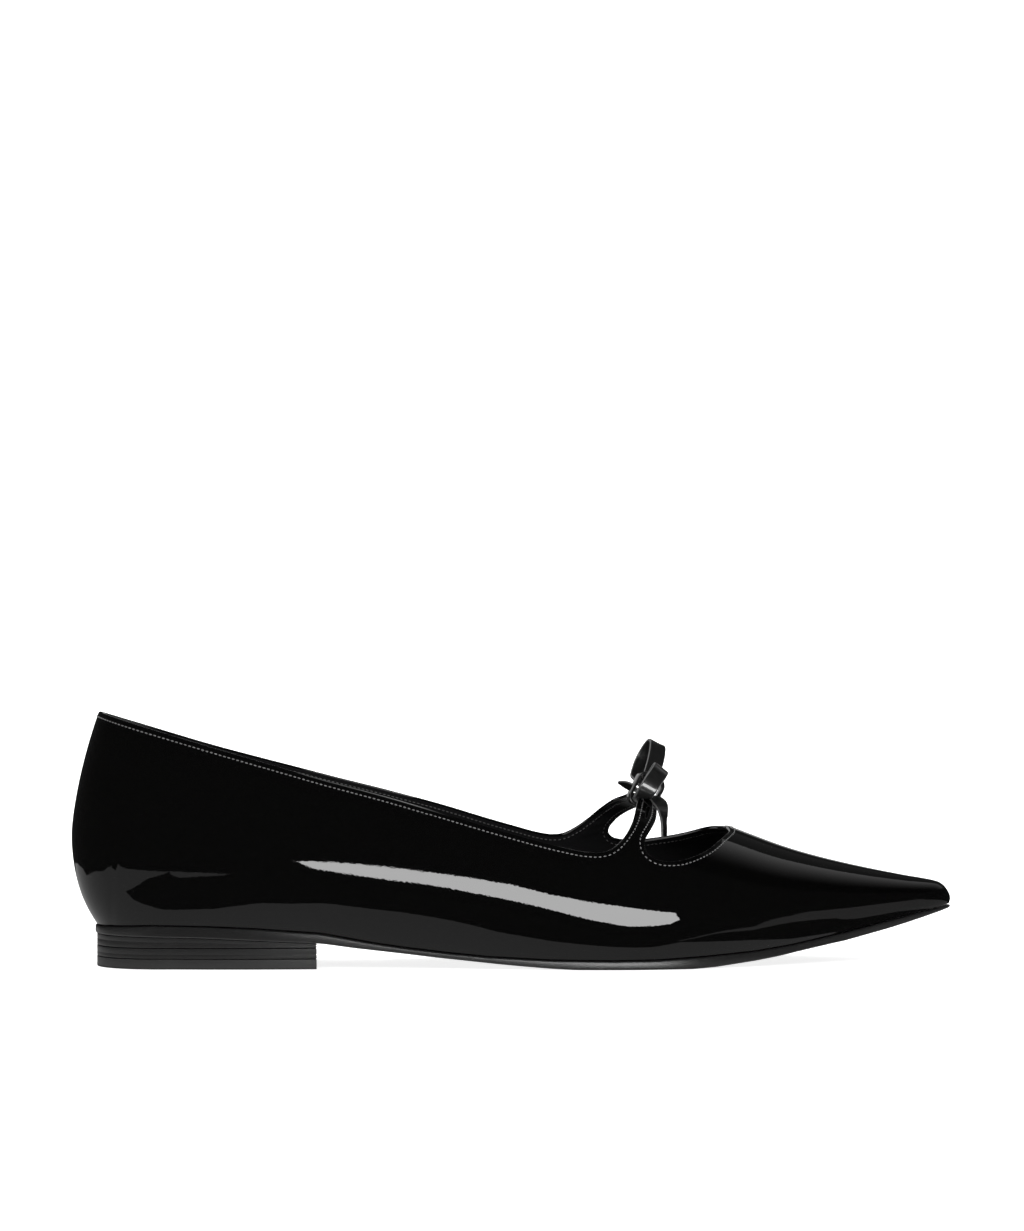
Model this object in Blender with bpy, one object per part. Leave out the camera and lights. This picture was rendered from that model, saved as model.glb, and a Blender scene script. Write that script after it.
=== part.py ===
"""Pointed toe flat shoe for the right foot, in black patent leather.

Toe toward +X, up is +Z, the outer side of the foot at -Y. Lengths are millimetres until the meshes are made.
"""

import math

import bmesh
import bpy
import numpy as np

MM = 0.001

# Sizes of the shoe
LENGTH = 268.5
BALL_WIDTH = 76.0
BACK_HEIGHT = 75.9
WALL = 1.8
GAP = 0.3
INSOLE_THICKNESS = 2.2
SOLE_OVERHANG = 0.3
BREAST_X = 72.6
TOP_PIECE_THICKNESS = 3.1
LOWER_LIFT_THICKNESS = 2.9
HEEL_INSET = 0.5

# Sizes of the bow
RIBBON_WIDTH = 5.3
RIBBON_THICKNESS = 1.0
TAIL_WIDTH = 4.4
TAIL_THICKNESS = 0.8
WRAP_WIDTH = 5.0
KNOT_WALL = 1.2
BOW_TILT = math.radians(27)
BOW_SHIFT = -0.2
STRAP_BACK_X = 171.2
STRAP_FRONT_X = 175.8

# The size that the tables below are written for; they are stretched to the sizes above
TABLE_LENGTH = 268.5
TABLE_WIDTH = 76.0
TABLE_HEIGHT = 75.9
SX = LENGTH / TABLE_LENGTH
SY = BALL_WIDTH / TABLE_WIDTH
SZ = BACK_HEIGHT / TABLE_HEIGHT

# Cross sections of the last: x, widest half width outer and inner, half width at the sole outer and inner,
# height of the widest line, height of the crown, roundness of the crown
LAST = (
    (30.0, 26.5, 26.5, 20.5, 20.5, 33.0, 110.0, 2.20),
    (45.0, 28.6, 28.0, 22.5, 21.6, 32.0, 107.0, 2.20),
    (70.0, 30.0, 28.0, 23.8, 21.0, 29.5, 101.0, 2.20),
    (100.0, 31.2, 27.8, 25.0, 20.6, 25.0, 87.0, 2.20),
    (125.0, 34.8, 30.4, 29.5, 24.2, 21.5, 72.0, 2.20),
    (150.0, 38.2, 34.8, 34.2, 30.4, 18.8, 59.5, 2.20),
    (170.0, 38.8, 37.2, 35.4, 33.8, 17.6, 51.5, 2.15),
    (185.0, 36.4, 37.2, 33.2, 34.2, 17.0, 45.9, 2.10),
    (200.0, 31.2, 34.2, 28.4, 31.4, 16.6, 40.8, 2.05),
    (215.0, 25.3, 27.9, 22.6, 25.4, 16.2, 35.2, 2.00),
    (230.0, 19.7, 21.6, 17.0, 19.5, 16.5, 30.8, 2.00),
    (245.0, 13.8, 15.1, 11.7, 13.3, 17.4, 27.4, 2.00),
    (255.0, 9.7, 10.5, 7.8, 8.9, 18.2, 25.4, 2.00),
)
# The column at the very back: reach at the widest line, reach at the sole, height of the widest line,
# height of the crown, roundness
HEEL_END = (30.0, 22.4, 38.3, 110.0, 1.50)
HEEL_ROUNDNESS = 2.25
# The point of the toe: where it starts, where upper and sole end, its height, and for each outline the
# spread of its sides and the radius of its tip (upper outer, upper inner, sole outer, sole inner)
TOE_START = 230.0
UPPER_TIP_X = 268.5
SOLE_TIP_X = 268.2
TIP_HEIGHT = 18.3
TIP_SHAPES = ((0.355, 2.6), (0.400, 3.0), (0.330, 1.9), (0.385, 2.4))
# Crown over the tip: square root of the distance from the tip, height
TIP_CROWN = ((0.0, 18.3), (0.95, 20.8), (1.64, 22.8), (2.41, 24.0), (2.97, 24.6), (3.674, 25.4))
HOLLOW_END_X = 262.0
# The toe swings toward the inner side: where this starts, and by how much at the tip
SWING_START = 200.0
SWING = 3.6
TUCK_ANGLE = math.radians(30)
# Height to which the blank of the upper is built before the openings are cut: x, height
BLANK_TOP = (
    (0.0, 84.0), (30.0, 82.0), (60.0, 72.0), (100.0, 60.0), (130.0, 58.0), (150.0, 60.0), (269.0, 60.0)
)

# Line where upper and sole meet: x, height
FEATHER = (
    (0.0, 12.6), (7.6, 12.7), (23.3, 13.3), (40.0, 13.0), (53.6, 12.4), (73.9, 10.9), (80.9, 9.6),
    (90.0, 7.9), (99.0, 6.6), (111.0, 5.2), (123.0, 4.1), (141.5, 3.2), (160.0, 3.0), (174.0, 3.2),
    (189.0, 4.0), (203.6, 5.0), (214.8, 6.4), (225.8, 8.3), (233.0, 9.7), (240.6, 11.3), (247.9, 12.8),
    (255.0, 14.3), (262.4, 15.7), (267.0, 16.6), (270.0, 17.2),
)
# Underside of the outsole: x, height
TREAD = (
    (0.0, 9.9), (7.6, 9.9), (40.0, 9.2), (74.0, 7.6), (84.0, 6.2), (90.0, 5.5), (96.0, 4.8), (102.0, 4.1),
    (108.0, 3.4), (114.0, 2.8), (120.0, 2.2), (126.0, 1.6), (133.0, 1.0), (141.0, 0.4), (149.0, 0.0),
    (184.0, 0.0), (191.0, 0.4), (203.8, 1.85), (211.0, 2.9), (218.5, 4.3), (233.0, 6.9), (247.8, 10.2),
    (255.0, 12.0), (262.5, 14.0), (267.0, 15.2), (270.0, 15.9),
)

# Collar line of each side, from the back of the heel to the strap's back edge over the instep: x, height
COLLAR_OUTER = (
    (8.4, 75.9), (14.4, 73.9), (24.3, 70.9), (40.3, 66.1), (54.2, 62.0), (74.9, 56.0), (98.8, 49.4),
    (111.7, 45.6), (127.8, 40.8), (144.2, 36.4), (152.0, 34.9), (157.0, 34.9), (160.6, 36.4), (164.3, 39.9),
    (167.6, 44.6), (170.0, 48.6),
)
COLLAR_INNER = (
    (8.4, 75.9), (13.6, 74.1), (25.1, 70.6), (43.6, 65.0), (61.9, 60.1), (80.2, 55.3), (98.4, 50.7),
    (116.8, 45.6), (135.3, 40.0), (143.5, 37.7), (149.3, 36.9), (154.0, 38.1), (159.3, 41.8), (163.6, 45.9),
    (167.0, 48.8), (169.8, 50.4),
)
# Edge of the front opening, from the strap's front edge down its side and along the vamp: x, height
THROAT_OUTER = (
    (175.3, 47.2), (174.1, 44.8), (172.1, 42.2), (170.3, 40.0), (169.4, 38.2), (169.3, 36.5), (169.9, 34.8),
    (171.3, 33.4), (173.3, 32.4), (176.9, 31.9), (181.5, 32.3), (186.8, 33.9), (191.4, 36.0), (196.2, 38.8),
    (198.8, 40.2),
)
THROAT_INNER = (
    (174.2, 48.0), (172.0, 46.6), (169.6, 44.8), (167.6, 42.7), (166.1, 40.4), (165.7, 38.3), (166.9, 36.4),
    (169.3, 35.5), (172.5, 35.2), (176.6, 35.3), (182.9, 36.3), (188.0, 37.5), (192.4, 38.9), (196.3, 40.3),
    (198.8, 40.6),
)
THROAT_POINT = (199.4, 40.7)
# The straps' edges over the instep, seen from above: sideways, back edge, front edge
STRAP_EDGES = (
    (-14.0, 170.3, 175.4), (-7.0, 171.0, 175.7), (0.0, 171.2, 175.8), (7.0, 170.5, 175.3),
    (14.0, 169.0, 174.1),
)
STRAP_CUT_BOTTOM = 44.5
STRAP_CUT_BACK = 150.0
STRAP_CUT_FRONT = 190.0
OPEN_TO_HEIGHT = 140.0
CUTTER_REACH = 90.0

# Middle line of the bow's loops, seen from the toe: sideways, above the straps, toward the heel; then how
# far the ribbon's edge on the toe side rises over its width
LOOP_OUTER = (
    (-3.2, 2.3, 0.0, 0.0), (-5.5, 2.9, 0.3, 0.0), (-8.5, 2.2, 0.9, 0.15), (-11.5, 0.7, 1.5, 0.35),
    (-14.3, -0.7, 2.0, 0.50), (-16.8, -0.6, 2.1, 0.45), (-18.4, 1.6, 2.1, 0.20), (-18.9, 4.6, 1.9, 0.0),
    (-17.9, 7.6, 1.3, -0.15), (-15.4, 9.2, 0.9, -0.20), (-11.6, 9.2, 0.7, -0.15), (-7.0, 7.4, 0.3, -0.05),
    (-3.2, 5.0, 0.0, 0.0),
)
LOOP_INNER = (
    (3.2, 5.0, 0.0, 0.0), (4.6, 7.6, 0.2, 0.0), (6.0, 10.6, 0.6, 0.0), (7.4, 13.6, 1.2, 0.0),
    (9.2, 15.9, 2.0, 0.0), (11.4, 15.8, 2.7, 0.0), (13.2, 13.2, 3.0, 0.0), (14.2, 9.6, 3.0, 0.0),
    (13.6, 6.2, 2.7, 0.0), (11.6, 4.1, 2.4, 0.0), (8.8, 3.4, 1.6, 0.0), (6.0, 2.9, 0.7, 0.0),
    (3.2, 2.3, 0.0, 0.0),
)
LOOP_TOP_IN_KNOT = 4.7
LOOP_BOTTOM_IN_KNOT = 2.3
# Middle line of the tails: toward the toe, sideways, above the straps; the direction of the ribbon's width,
# toward the toe, sideways and up; the share of the width that is left
TAILS = (
    (8.9, -17.0, -8.4, 0.38, 0.90, 0.20, 0.90), (8.1, -17.2, -6.9, 0.36, 0.90, 0.25, 1.0),
    (7.1, -17.6, -5.2, 0.30, 0.88, 0.36, 1.0), (5.8, -17.6, -3.0, 0.28, 0.78, 0.56, 1.0),
    (4.2, -16.2, -0.7, 0.40, 0.68, 0.62, 1.0), (2.7, -12.8, 0.5, 0.60, 0.62, 0.50, 1.0),
    (1.3, -9.2, 0.8, 0.82, 0.50, 0.28, 1.0), (0.4, -5.2, 0.85, 1.0, 0.15, 0.0, 1.0),
    (0.0, -1.5, 0.85, 1.0, 0.0, 0.0, 1.0), (0.0, 1.5, 0.85, 1.0, 0.0, 0.0, 1.0),
    (-0.6, 3.6, 0.9, 0.95, 0.20, 0.0, 1.0), (-2.2, 5.2, 0.8, 0.75, 0.50, -0.12, 1.0),
    (-4.2, 6.2, 0.7, 0.55, 0.66, -0.45, 0.95), (-6.2, 7.2, 0.5, 0.51, 0.66, -0.55, 0.60),
    (-7.8, 8.0, 0.3, 0.51, 0.66, -0.55, 0.12),
)
# Middle line of the knot's wrap, seen from the side: toward the toe, above the straps
KNOT_HALF_WIDTH = 3.4 + KNOT_WALL / 2
KNOT_BOTTOM = -2.85 - KNOT_WALL / 2
KNOT_TOP = 5.9 + KNOT_WALL / 2
KNOT_CORNER = 2.4

FLOOR_DEPTH = 4.0
HEEL_STEPS = 8
TIP_STATIONS = (259.0, 262.0, 264.2, 265.8, 267.0, 267.8, 268.3, 268.5)
TUCK_ROWS = 6
SIDE_ROWS = 12
CORNER_STEPS = 6
SHARP_ANGLE = math.radians(38)


def spline(rows, column):
    """A natural cubic spline through one column of a table, as a function of the table's first column."""
    xs = np.array([row[0] for row in rows])
    ys = np.array([row[column] for row in rows])
    count = len(xs)
    step = np.diff(xs)
    matrix = np.eye(count)
    right = np.zeros(count)
    for i in range(1, count - 1):
        matrix[i, i - 1 : i + 2] = step[i - 1], 2 * (step[i - 1] + step[i]), step[i]
        right[i] = 6 * ((ys[i + 1] - ys[i]) / step[i] - (ys[i] - ys[i - 1]) / step[i - 1])
    bend = np.linalg.solve(matrix, right)

    def value(x):
        i = min(max(int(np.searchsorted(xs, x)) - 1, 0), count - 2)
        a, b = xs[i + 1] - x, x - xs[i]
        line = (ys[i] / step[i] - bend[i] * step[i] / 6) * a
        line += (ys[i + 1] / step[i] - bend[i + 1] * step[i] / 6) * b
        return (bend[i] * a**3 + bend[i + 1] * b**3) / (6 * step[i]) + line

    return value


def straight(rows):
    """Straight lines through a table of x and height."""
    xs = [row[0] for row in rows]
    ys = [row[1] for row in rows]
    return lambda x: float(np.interp(x, xs, ys))


OUTER, INNER, SOLE_OUTER, SOLE_INNER, WIDEST, LAST_CROWN, ROUND = (spline(LAST, i) for i in range(1, 8))
OVER_TIP = spline(TIP_CROWN, 1)
feather_height = straight(FEATHER)
tread_height = straight(TREAD)
blank_top = straight(BLANK_TOP)


def around(across, along, turn, roundness):
    """Reach in a direction turned from across to along, on a rounded outline with these two reaches."""
    return (
        (abs(math.cos(turn)) / across) ** roundness + (abs(math.sin(turn)) / along) ** roundness
    ) ** (-1 / roundness)


def crown_height(x):
    """Height of the crown, along the whole shoe."""
    if x <= LAST[-1][0]:
        return LAST_CROWN(x)
    return OVER_TIP(math.sqrt(max(UPPER_TIP_X - x, 0.0)))


def half_width(x, outline, body, tip_x):
    """Half width of one outline: the last's table, then the two sides that run to the rounded tip."""
    if x < TOE_START:
        return body(x)
    spread, radius = TIP_SHAPES[outline]
    left = max(tip_x - x, 0.0)
    return math.sqrt(2 * radius * left + (spread * left) ** 2)


def column_values(x, side, turn):
    """What one column of the last is drawn from; side is -1 for the outer side and 1 for the inner one."""
    if side < 0:
        wide, sole = half_width(x, 0, OUTER, UPPER_TIP_X), half_width(x, 2, SOLE_OUTER, SOLE_TIP_X)
    else:
        wide, sole = half_width(x, 1, INNER, UPPER_TIP_X), half_width(x, 3, SOLE_INNER, SOLE_TIP_X)
    widest, crown, roundness = WIDEST(x), crown_height(x), ROUND(x)
    if x > TOE_START:
        widest = min(widest, TIP_HEIGHT)
    if turn:
        end_wide, end_sole, end_widest, end_crown, end_round = HEEL_END
        share = math.sin(turn) ** 2
        wide = around(wide, end_wide, turn, HEEL_ROUNDNESS)
        sole = around(sole, end_sole, turn, HEEL_ROUNDNESS)
        widest += (end_widest - widest) * share
        crown += (end_crown - crown) * share
        roundness += (end_round - roundness) * share
    return wide, sole, widest, crown, roundness


def column(x, side, turn=0.0):
    """One column of points on the last, from the sole's edge up to the crown or to the top of the blank."""
    wide, sole, widest, crown, roundness = column_values(x, side, turn)
    dx, dy = -math.sin(turn), side * math.cos(turn)
    foot = feather_height(x + dx * sole)
    if x > SOLE_TIP_X:
        share = math.sqrt((UPPER_TIP_X - x) / (UPPER_TIP_X - SOLE_TIP_X))
        foot = TIP_HEIGHT + (foot - TIP_HEIGHT) * share
    top = blank_top(x + dx * wide)
    points = []
    for i in range(TUCK_ROWS):
        angle = TUCK_ANGLE + (math.pi / 2 - TUCK_ANGLE) * i / TUCK_ROWS
        reach = sole + (wide - sole) * (math.sin(angle) - math.sin(TUCK_ANGLE)) / (1 - math.sin(TUCK_ANGLE))
        points.append((reach, widest - (widest - foot) * math.cos(angle) / math.cos(TUCK_ANGLE)))
    last_angle = math.pi / 2
    if top < crown:
        last_angle = math.asin(((top - widest) / (crown - widest)) ** (roundness / 2))
    for i in range(SIDE_ROWS + 1):
        angle = last_angle * i / SIDE_ROWS
        reach = wide * max(math.cos(angle), 0.0) ** (2 / roundness)
        reach = 0.0 if reach < 1e-6 else reach
        points.append((reach, widest + (crown - widest) * math.sin(angle) ** (2 / roundness)))
    return np.array([(x + dx * reach, dy * reach, z) for reach, z in points])


def ribs():
    """Pairs of columns, outer side and inner side, from the back of the heel to the tip of the toe."""
    pairs = []
    heel_x = LAST[0][0]
    for i in range(HEEL_STEPS):
        turn = math.pi / 2 * (1 - i / HEEL_STEPS)
        pairs.append([column(heel_x, side, turn) for side in (-1, 1)])
    stations = np.concatenate(
        [np.linspace(heel_x, 150, 15)[:-1], np.linspace(150, 200, 11)[:-1], np.linspace(200, 255, 10)]
    )
    for x in list(stations) + list(TIP_STATIONS):
        pairs.append([column(float(x), side) for side in (-1, 1)])
    for side in (0, 1):
        pairs[0][side][:, 1] = 0.0
    return np.array(pairs)


def inward(pairs):
    """The same columns, moved inward by the wall."""
    loop = np.concatenate([pairs[::-1, 0], pairs[1:-1, 1]])
    along = np.roll(loop, -1, axis=0) - np.roll(loop, 1, axis=0)
    upward = np.gradient(loop, axis=1)
    normal = np.cross(upward, along)
    size = np.linalg.norm(normal, axis=2, keepdims=True)
    normal = np.where(size > 1e-6, normal / np.maximum(size, 1e-6), 0.0)
    on_crown = np.abs(loop[:, -1, 1]) < 1e-5
    for i in np.flatnonzero(on_crown):
        x = loop[i, -1, 0]
        slope = crown_height(x + 1) - crown_height(x)
        normal[i, -1] = np.array([-slope, 0.0, 1.0]) / math.hypot(slope, 1.0)
    outward = np.sum(normal[:, 3, :2] * (loop[:, 3, :2] - np.array([150.0, 0.0])), axis=1).mean()
    moved = loop - WALL * normal * (1 if outward > 0 else -1)
    moved[:, -1, 1] = np.where(on_crown, 0.0, moved[:, -1, 1])
    count = len(pairs)
    outer = moved[:count][::-1]
    inner = np.concatenate([outer[:1], moved[count:], outer[-1:]])
    outer[0, :, 1] = inner[0, :, 1] = 0.0
    return np.stack([outer, inner], axis=1)[pairs[:, 0, 0, 0] <= HOLLOW_END_X]


rib_pairs = ribs()
MIDDLE_X = TABLE_LENGTH / 2
MIDDLE_Y = float(rib_pairs[..., 1].max() + rib_pairs[..., 1].min()) / 2


def to_size(point):
    """A point of the tables in metres, from the middle of the shoe's outline on the ground."""
    x, y, z = point
    swing = SWING * (max(x - SWING_START, 0.0) / (TABLE_LENGTH - SWING_START)) ** 2
    return ((x - MIDDLE_X) * SX * MM, (y + swing - MIDDLE_Y) * SY * MM, z * SZ * MM)


def make_mesh(name, points, faces, material=None):
    """An object from points in metres, with faces turned outward."""
    mesh = bpy.data.meshes.new(name)
    mesh.from_pydata(points, [], faces)
    shape = bmesh.new()
    shape.from_mesh(mesh)
    bmesh.ops.remove_doubles(shape, verts=shape.verts, dist=1e-6)
    bmesh.ops.recalc_face_normals(shape, faces=shape.faces)
    shape.to_mesh(mesh)
    shape.free()
    obj = bpy.data.objects.new(name, mesh)
    bpy.context.scene.collection.objects.link(obj)
    if material:
        mesh.materials.append(material)
    return obj


def shade(obj):
    for face in obj.data.polygons:
        face.use_smooth = True
    obj.data.set_sharp_from_angle(angle=SHARP_ANGLE)


def shell_between(name, pairs, scale=to_size):
    """A closed body from pairs of columns, closed below and above by strips from side to side."""
    count, rows = pairs.shape[0], pairs.shape[2]
    points = [scale(point) for pair in pairs for side in pair for point in side]

    def at(rib, side, row):
        return (rib * 2 + side) * rows + row

    faces = []
    for a in range(count - 1):
        b = a + 1
        for side in (0, 1):
            for row in range(rows - 1):
                near, far = at(a, side, row), at(b, side, row)
                faces.append((near, far, at(b, side, row + 1), at(a, side, row + 1)))
        for row in (0, rows - 1):
            faces.append((at(a, 0, row), at(b, 0, row), at(b, 1, row), at(a, 1, row)))
    if np.abs(pairs[-1, 0] - pairs[-1, 1]).max() > 1e-3:
        end = [at(count - 1, 0, row) for row in range(rows)]
        end += [at(count - 1, 1, row) for row in reversed(range(rows))]
        faces.append(tuple(end))
    return make_mesh(name, points, faces)


def rounded(points, steps=3):
    """A smooth line through the points."""
    points = [np.array(point, float) for point in points]
    padded = [2 * points[0] - points[1]] + points + [2 * points[-1] - points[-2]]
    line = []
    for i in range(1, len(padded) - 2):
        a, b, c, d = padded[i - 1 : i + 3]
        for k in range(steps):
            t = k / steps
            curve = (2 * a - 5 * b + 4 * c - d) * t**2 + (3 * b - a - 3 * c + d) * t**3
            line.append(0.5 * (2 * b + (c - a) * t + curve))
    return line + [points[-1]]


def opening_cutter(name, collar, throat, side):
    """The body that cuts the collar and the front opening on one side of the shoe, seen from that side."""
    crown_back = (STRAP_BACK_X, crown_height(STRAP_BACK_X) - 0.1)
    crown_front = (STRAP_FRONT_X, crown_height(STRAP_FRONT_X) - 0.1)
    first = collar[0]
    back = [(-10.0, first[1] + 1.5)] + rounded(collar + (crown_back,), 2)
    back += [(STRAP_BACK_X, OPEN_TO_HEIGHT), (-10.0, OPEN_TO_HEIGHT)]
    front = rounded((crown_front,) + throat + (THROAT_POINT,), 2)
    front += [(THROAT_POINT[0], OPEN_TO_HEIGHT), (STRAP_FRONT_X, OPEN_TO_HEIGHT)]
    points, faces = [], []
    for outline in (back, front):
        start, count = len(points), len(outline)
        for y in (0.0, side * CUTTER_REACH):
            points += [to_size((x, y, z)) for x, z in outline]
        faces.append(tuple(start + i for i in range(count)))
        faces.append(tuple(start + count + i for i in reversed(range(count))))
        for i in range(count):
            j = (i + 1) % count
            faces.append((start + i, start + j, start + count + j, start + count + i))
    return make_mesh(name, points, faces)


def strap_cutter():
    """The two bodies that trim the straps square where they lie flat over the instep, seen from above."""
    first, last = STRAP_EDGES[0][0], STRAP_EDGES[-1][0]
    back = [(x, y) for y, x, _ in STRAP_EDGES] + [(STRAP_CUT_BACK, last), (STRAP_CUT_BACK, first)]
    front = [(x, y) for y, _, x in STRAP_EDGES] + [(STRAP_CUT_FRONT, last), (STRAP_CUT_FRONT, first)]
    points, faces = [], []
    for outline in (back, front):
        start, count = len(points), len(outline)
        for z in (STRAP_CUT_BOTTOM, OPEN_TO_HEIGHT):
            points += [to_size((x, y, z)) for x, y in outline]
        faces.append(tuple(start + i for i in range(count)))
        faces.append(tuple(start + count + i for i in reversed(range(count))))
        for i in range(count):
            j = (i + 1) % count
            faces.append((start + i, start + j, start + count + j, start + count + i))
    return make_mesh("strap_edges", points, faces)


def cut(obj, cutter):
    """Take the cutter's body away from the object, and then the cutter."""
    cutter.hide_render = True
    cutter.display_type = "WIRE"
    step = obj.modifiers.new(cutter.name, "BOOLEAN")
    step.operation = "DIFFERENCE"
    step.solver = "EXACT"
    step.object = cutter
    graph = bpy.context.evaluated_depsgraph_get()
    result = bpy.data.meshes.new_from_object(obj.evaluated_get(graph))
    obj.modifiers.remove(step)
    old = obj.data
    obj.data = result
    bpy.data.meshes.remove(old)
    bpy.data.objects.remove(cutter)


def slab(name, edge, low, high, material, scale=to_size):
    """A body between two heights, with an outline given as pairs of points from heel to toe."""
    columns = np.array([[[(x, y, low(x)), (x, y, high(x))] for x, y in pair] for pair in edge])
    obj = shell_between(name, columns, scale)
    obj.data.materials.append(material)
    shade(obj)
    return obj


def sole_edge(pairs, grow):
    """The outline of the sole, grown outward by some millimetres, as pairs of points."""
    edge = []
    pairs = pairs[pairs[:, 0, 0, 0] <= SOLE_TIP_X]
    loop = np.concatenate([pairs[::-1, 0, 0, :2], pairs[1:-1, 1, 0, :2]])
    along = np.roll(loop, -1, axis=0) - np.roll(loop, 1, axis=0)
    outward = np.stack([along[:, 1], -along[:, 0]], axis=1)
    outward /= np.linalg.norm(outward, axis=1, keepdims=True)
    facing = np.sum(outward * (loop - np.array([150.0, 0.0])), axis=1).mean()
    grown = loop + outward * grow * (1 if facing > 0 else -1)
    count = len(pairs)
    for i in range(count):
        near = grown[count - 1 - i]
        far = grown[count - 1 + i] if 0 < i < count - 1 else near
        edge.append((near, far))
    return edge


def heel_edge(edge):
    """The part of a sole outline behind the heel's breast, closed by a straight breast."""
    kept = [pair for pair in edge if pair[0][0] < BREAST_X - 2]
    following = next(pair for pair in edge if pair[0][0] >= BREAST_X - 2)
    last = kept[-1]
    closing = []
    for side in (0, 1):
        share = (BREAST_X - last[side][0]) / (following[side][0] - last[side][0])
        closing.append(last[side] + (following[side] - last[side]) * share)
    return kept + [tuple(closing)]


def bow_point(toward_toe, sideways, above):
    """A point of the bow in metres, from its place on the tilted frame over the straps."""
    x = (STRAP_BACK_X + STRAP_FRONT_X) / 2 + BOW_SHIFT
    z = crown_height(x) * SZ
    x = (x - MIDDLE_X) * SX + toward_toe * math.cos(BOW_TILT) + above * math.sin(BOW_TILT)
    z += above * math.cos(BOW_TILT) - toward_toe * math.sin(BOW_TILT)
    return (x * MM, (sideways - MIDDLE_Y * SY) * MM, z * MM)


def band(name, path, widths, width, thickness, closed, material, shares=None):
    """A flat ribbon along a path in the bow's frame, with the direction of its width at every point."""
    path = np.array(path)
    widths = np.array(widths, float)
    shares = np.ones(len(path)) if shares is None else shares
    count = len(path)
    if closed:
        along = np.roll(path, -1, axis=0) - np.roll(path, 1, axis=0)
    else:
        along = np.gradient(path, axis=0)
    along /= np.linalg.norm(along, axis=1, keepdims=True)
    widths = widths - along * np.sum(widths * along, axis=1, keepdims=True)
    widths /= np.linalg.norm(widths, axis=1, keepdims=True)
    thick = np.cross(along, widths)
    corners = ((-1, -1), (1, -1), (1, 1), (-1, 1))
    points = []
    for i in range(count):
        for a, b in corners:
            across = widths[i] * a * shares[i] * width / 2
            points.append(bow_point(*(path[i] + across + thick[i] * b * thickness / 2)))
    faces = []
    for i in range(count if closed else count - 1):
        j = (i + 1) % count
        for k in range(4):
            m = (k + 1) % 4
            faces.append((i * 4 + k, i * 4 + m, j * 4 + m, j * 4 + k))
    if not closed:
        faces += [(0, 1, 2, 3), tuple((count - 1) * 4 + k for k in (3, 2, 1, 0))]
    obj = make_mesh(name, points, faces, material)
    shade(obj)
    return obj


def knot_path():
    """The wrap's middle line: a rounded box round the straps and the ribbons."""
    left, right = -KNOT_HALF_WIDTH + KNOT_CORNER, KNOT_HALF_WIDTH - KNOT_CORNER
    low, high = KNOT_BOTTOM + KNOT_CORNER, KNOT_TOP - KNOT_CORNER
    path = []
    for quarter, (toe, above) in enumerate(((right, high), (left, high), (left, low), (right, low))):
        for step in range(CORNER_STEPS + 1):
            angle = math.pi / 2 * (quarter + step / CORNER_STEPS)
            path.append((toe + KNOT_CORNER * math.cos(angle), 0.0, above + KNOT_CORNER * math.sin(angle)))
    return path


def material(name, colour, roughness, coat=0.0):
    made = bpy.data.materials.new(name)
    made.use_nodes = True
    shader = made.node_tree.nodes["Principled BSDF"]
    shader.inputs["Base Color"].default_value = (*colour, 1.0)
    shader.inputs["Roughness"].default_value = roughness
    shader.inputs["Coat Weight"].default_value = coat
    made.diffuse_color = (*colour, 1.0)
    return made


for old in list(bpy.data.objects):
    bpy.data.objects.remove(old)

patent = material("patent_leather", (0.012, 0.012, 0.014), 0.12, 1.0)
ribbon = material("ribbon_leather", (0.014, 0.014, 0.016), 0.18, 1.0)
sock = material("insole_leather", (0.030, 0.029, 0.029), 0.55)
sole = material("sole_leather", (0.020, 0.019, 0.019), 0.45)
stack = material("heel_stack", (0.018, 0.017, 0.017), 0.50)
tread = material("heel_rubber", (0.015, 0.015, 0.015), 0.70)

# Upper: the last's outer skin, hollowed and cut open for the foot
upper = shell_between("upper", rib_pairs)
hollow_pairs = inward(rib_pairs)
inside = rib_pairs[:, 0, 0, 0] <= HOLLOW_END_X
brim = np.array(sole_edge(rib_pairs, -WALL))[: len(hollow_pairs)]
brim_row = hollow_pairs[:, :, :1].copy()
brim_row[:, :, 0, :2] = brim
brim_row[..., 2] = rib_pairs[inside, :, :1, 2]
floor_row = brim_row.copy()
floor_row[..., 2] -= FLOOR_DEPTH
hollow_rows = np.concatenate([floor_row, brim_row, hollow_pairs[:, :, TUCK_ROWS:]], axis=2)
hollow = shell_between("hollow", hollow_rows)
cut(upper, hollow)
cut(upper, opening_cutter("outer_openings", COLLAR_OUTER, THROAT_OUTER, -1))
cut(upper, opening_cutter("inner_openings", COLLAR_INNER, THROAT_INNER, 1))
cut(upper, strap_cutter())
upper.data.materials.clear()
upper.data.materials.append(patent)
shade(upper)

# Insole and outsole
insole_edge = [pair for pair in sole_edge(rib_pairs, -WALL - GAP) if pair[0][0] < HOLLOW_END_X - WALL]
slab("insole", insole_edge, feather_height, lambda x: feather_height(x) + INSOLE_THICKNESS, sock)
sole_outline = sole_edge(rib_pairs, SOLE_OVERHANG)
slab("outsole", sole_outline, tread_height, lambda x: feather_height(x) - GAP, sole)

# Heel
heel_outline = heel_edge(sole_edge(rib_pairs, SOLE_OVERHANG - HEEL_INSET))
lower_top = TOP_PIECE_THICKNESS + GAP + LOWER_LIFT_THICKNESS
slab("heel_lift_upper", heel_outline, lambda x: lower_top + GAP, lambda x: tread_height(x) - GAP, stack)
slab("heel_lift_lower", heel_outline, lambda x: TOP_PIECE_THICKNESS + GAP, lambda x: lower_top, stack)
slab("heel_top_piece", heel_outline, lambda x: 0.0, lambda x: TOP_PIECE_THICKNESS, tread)

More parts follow.
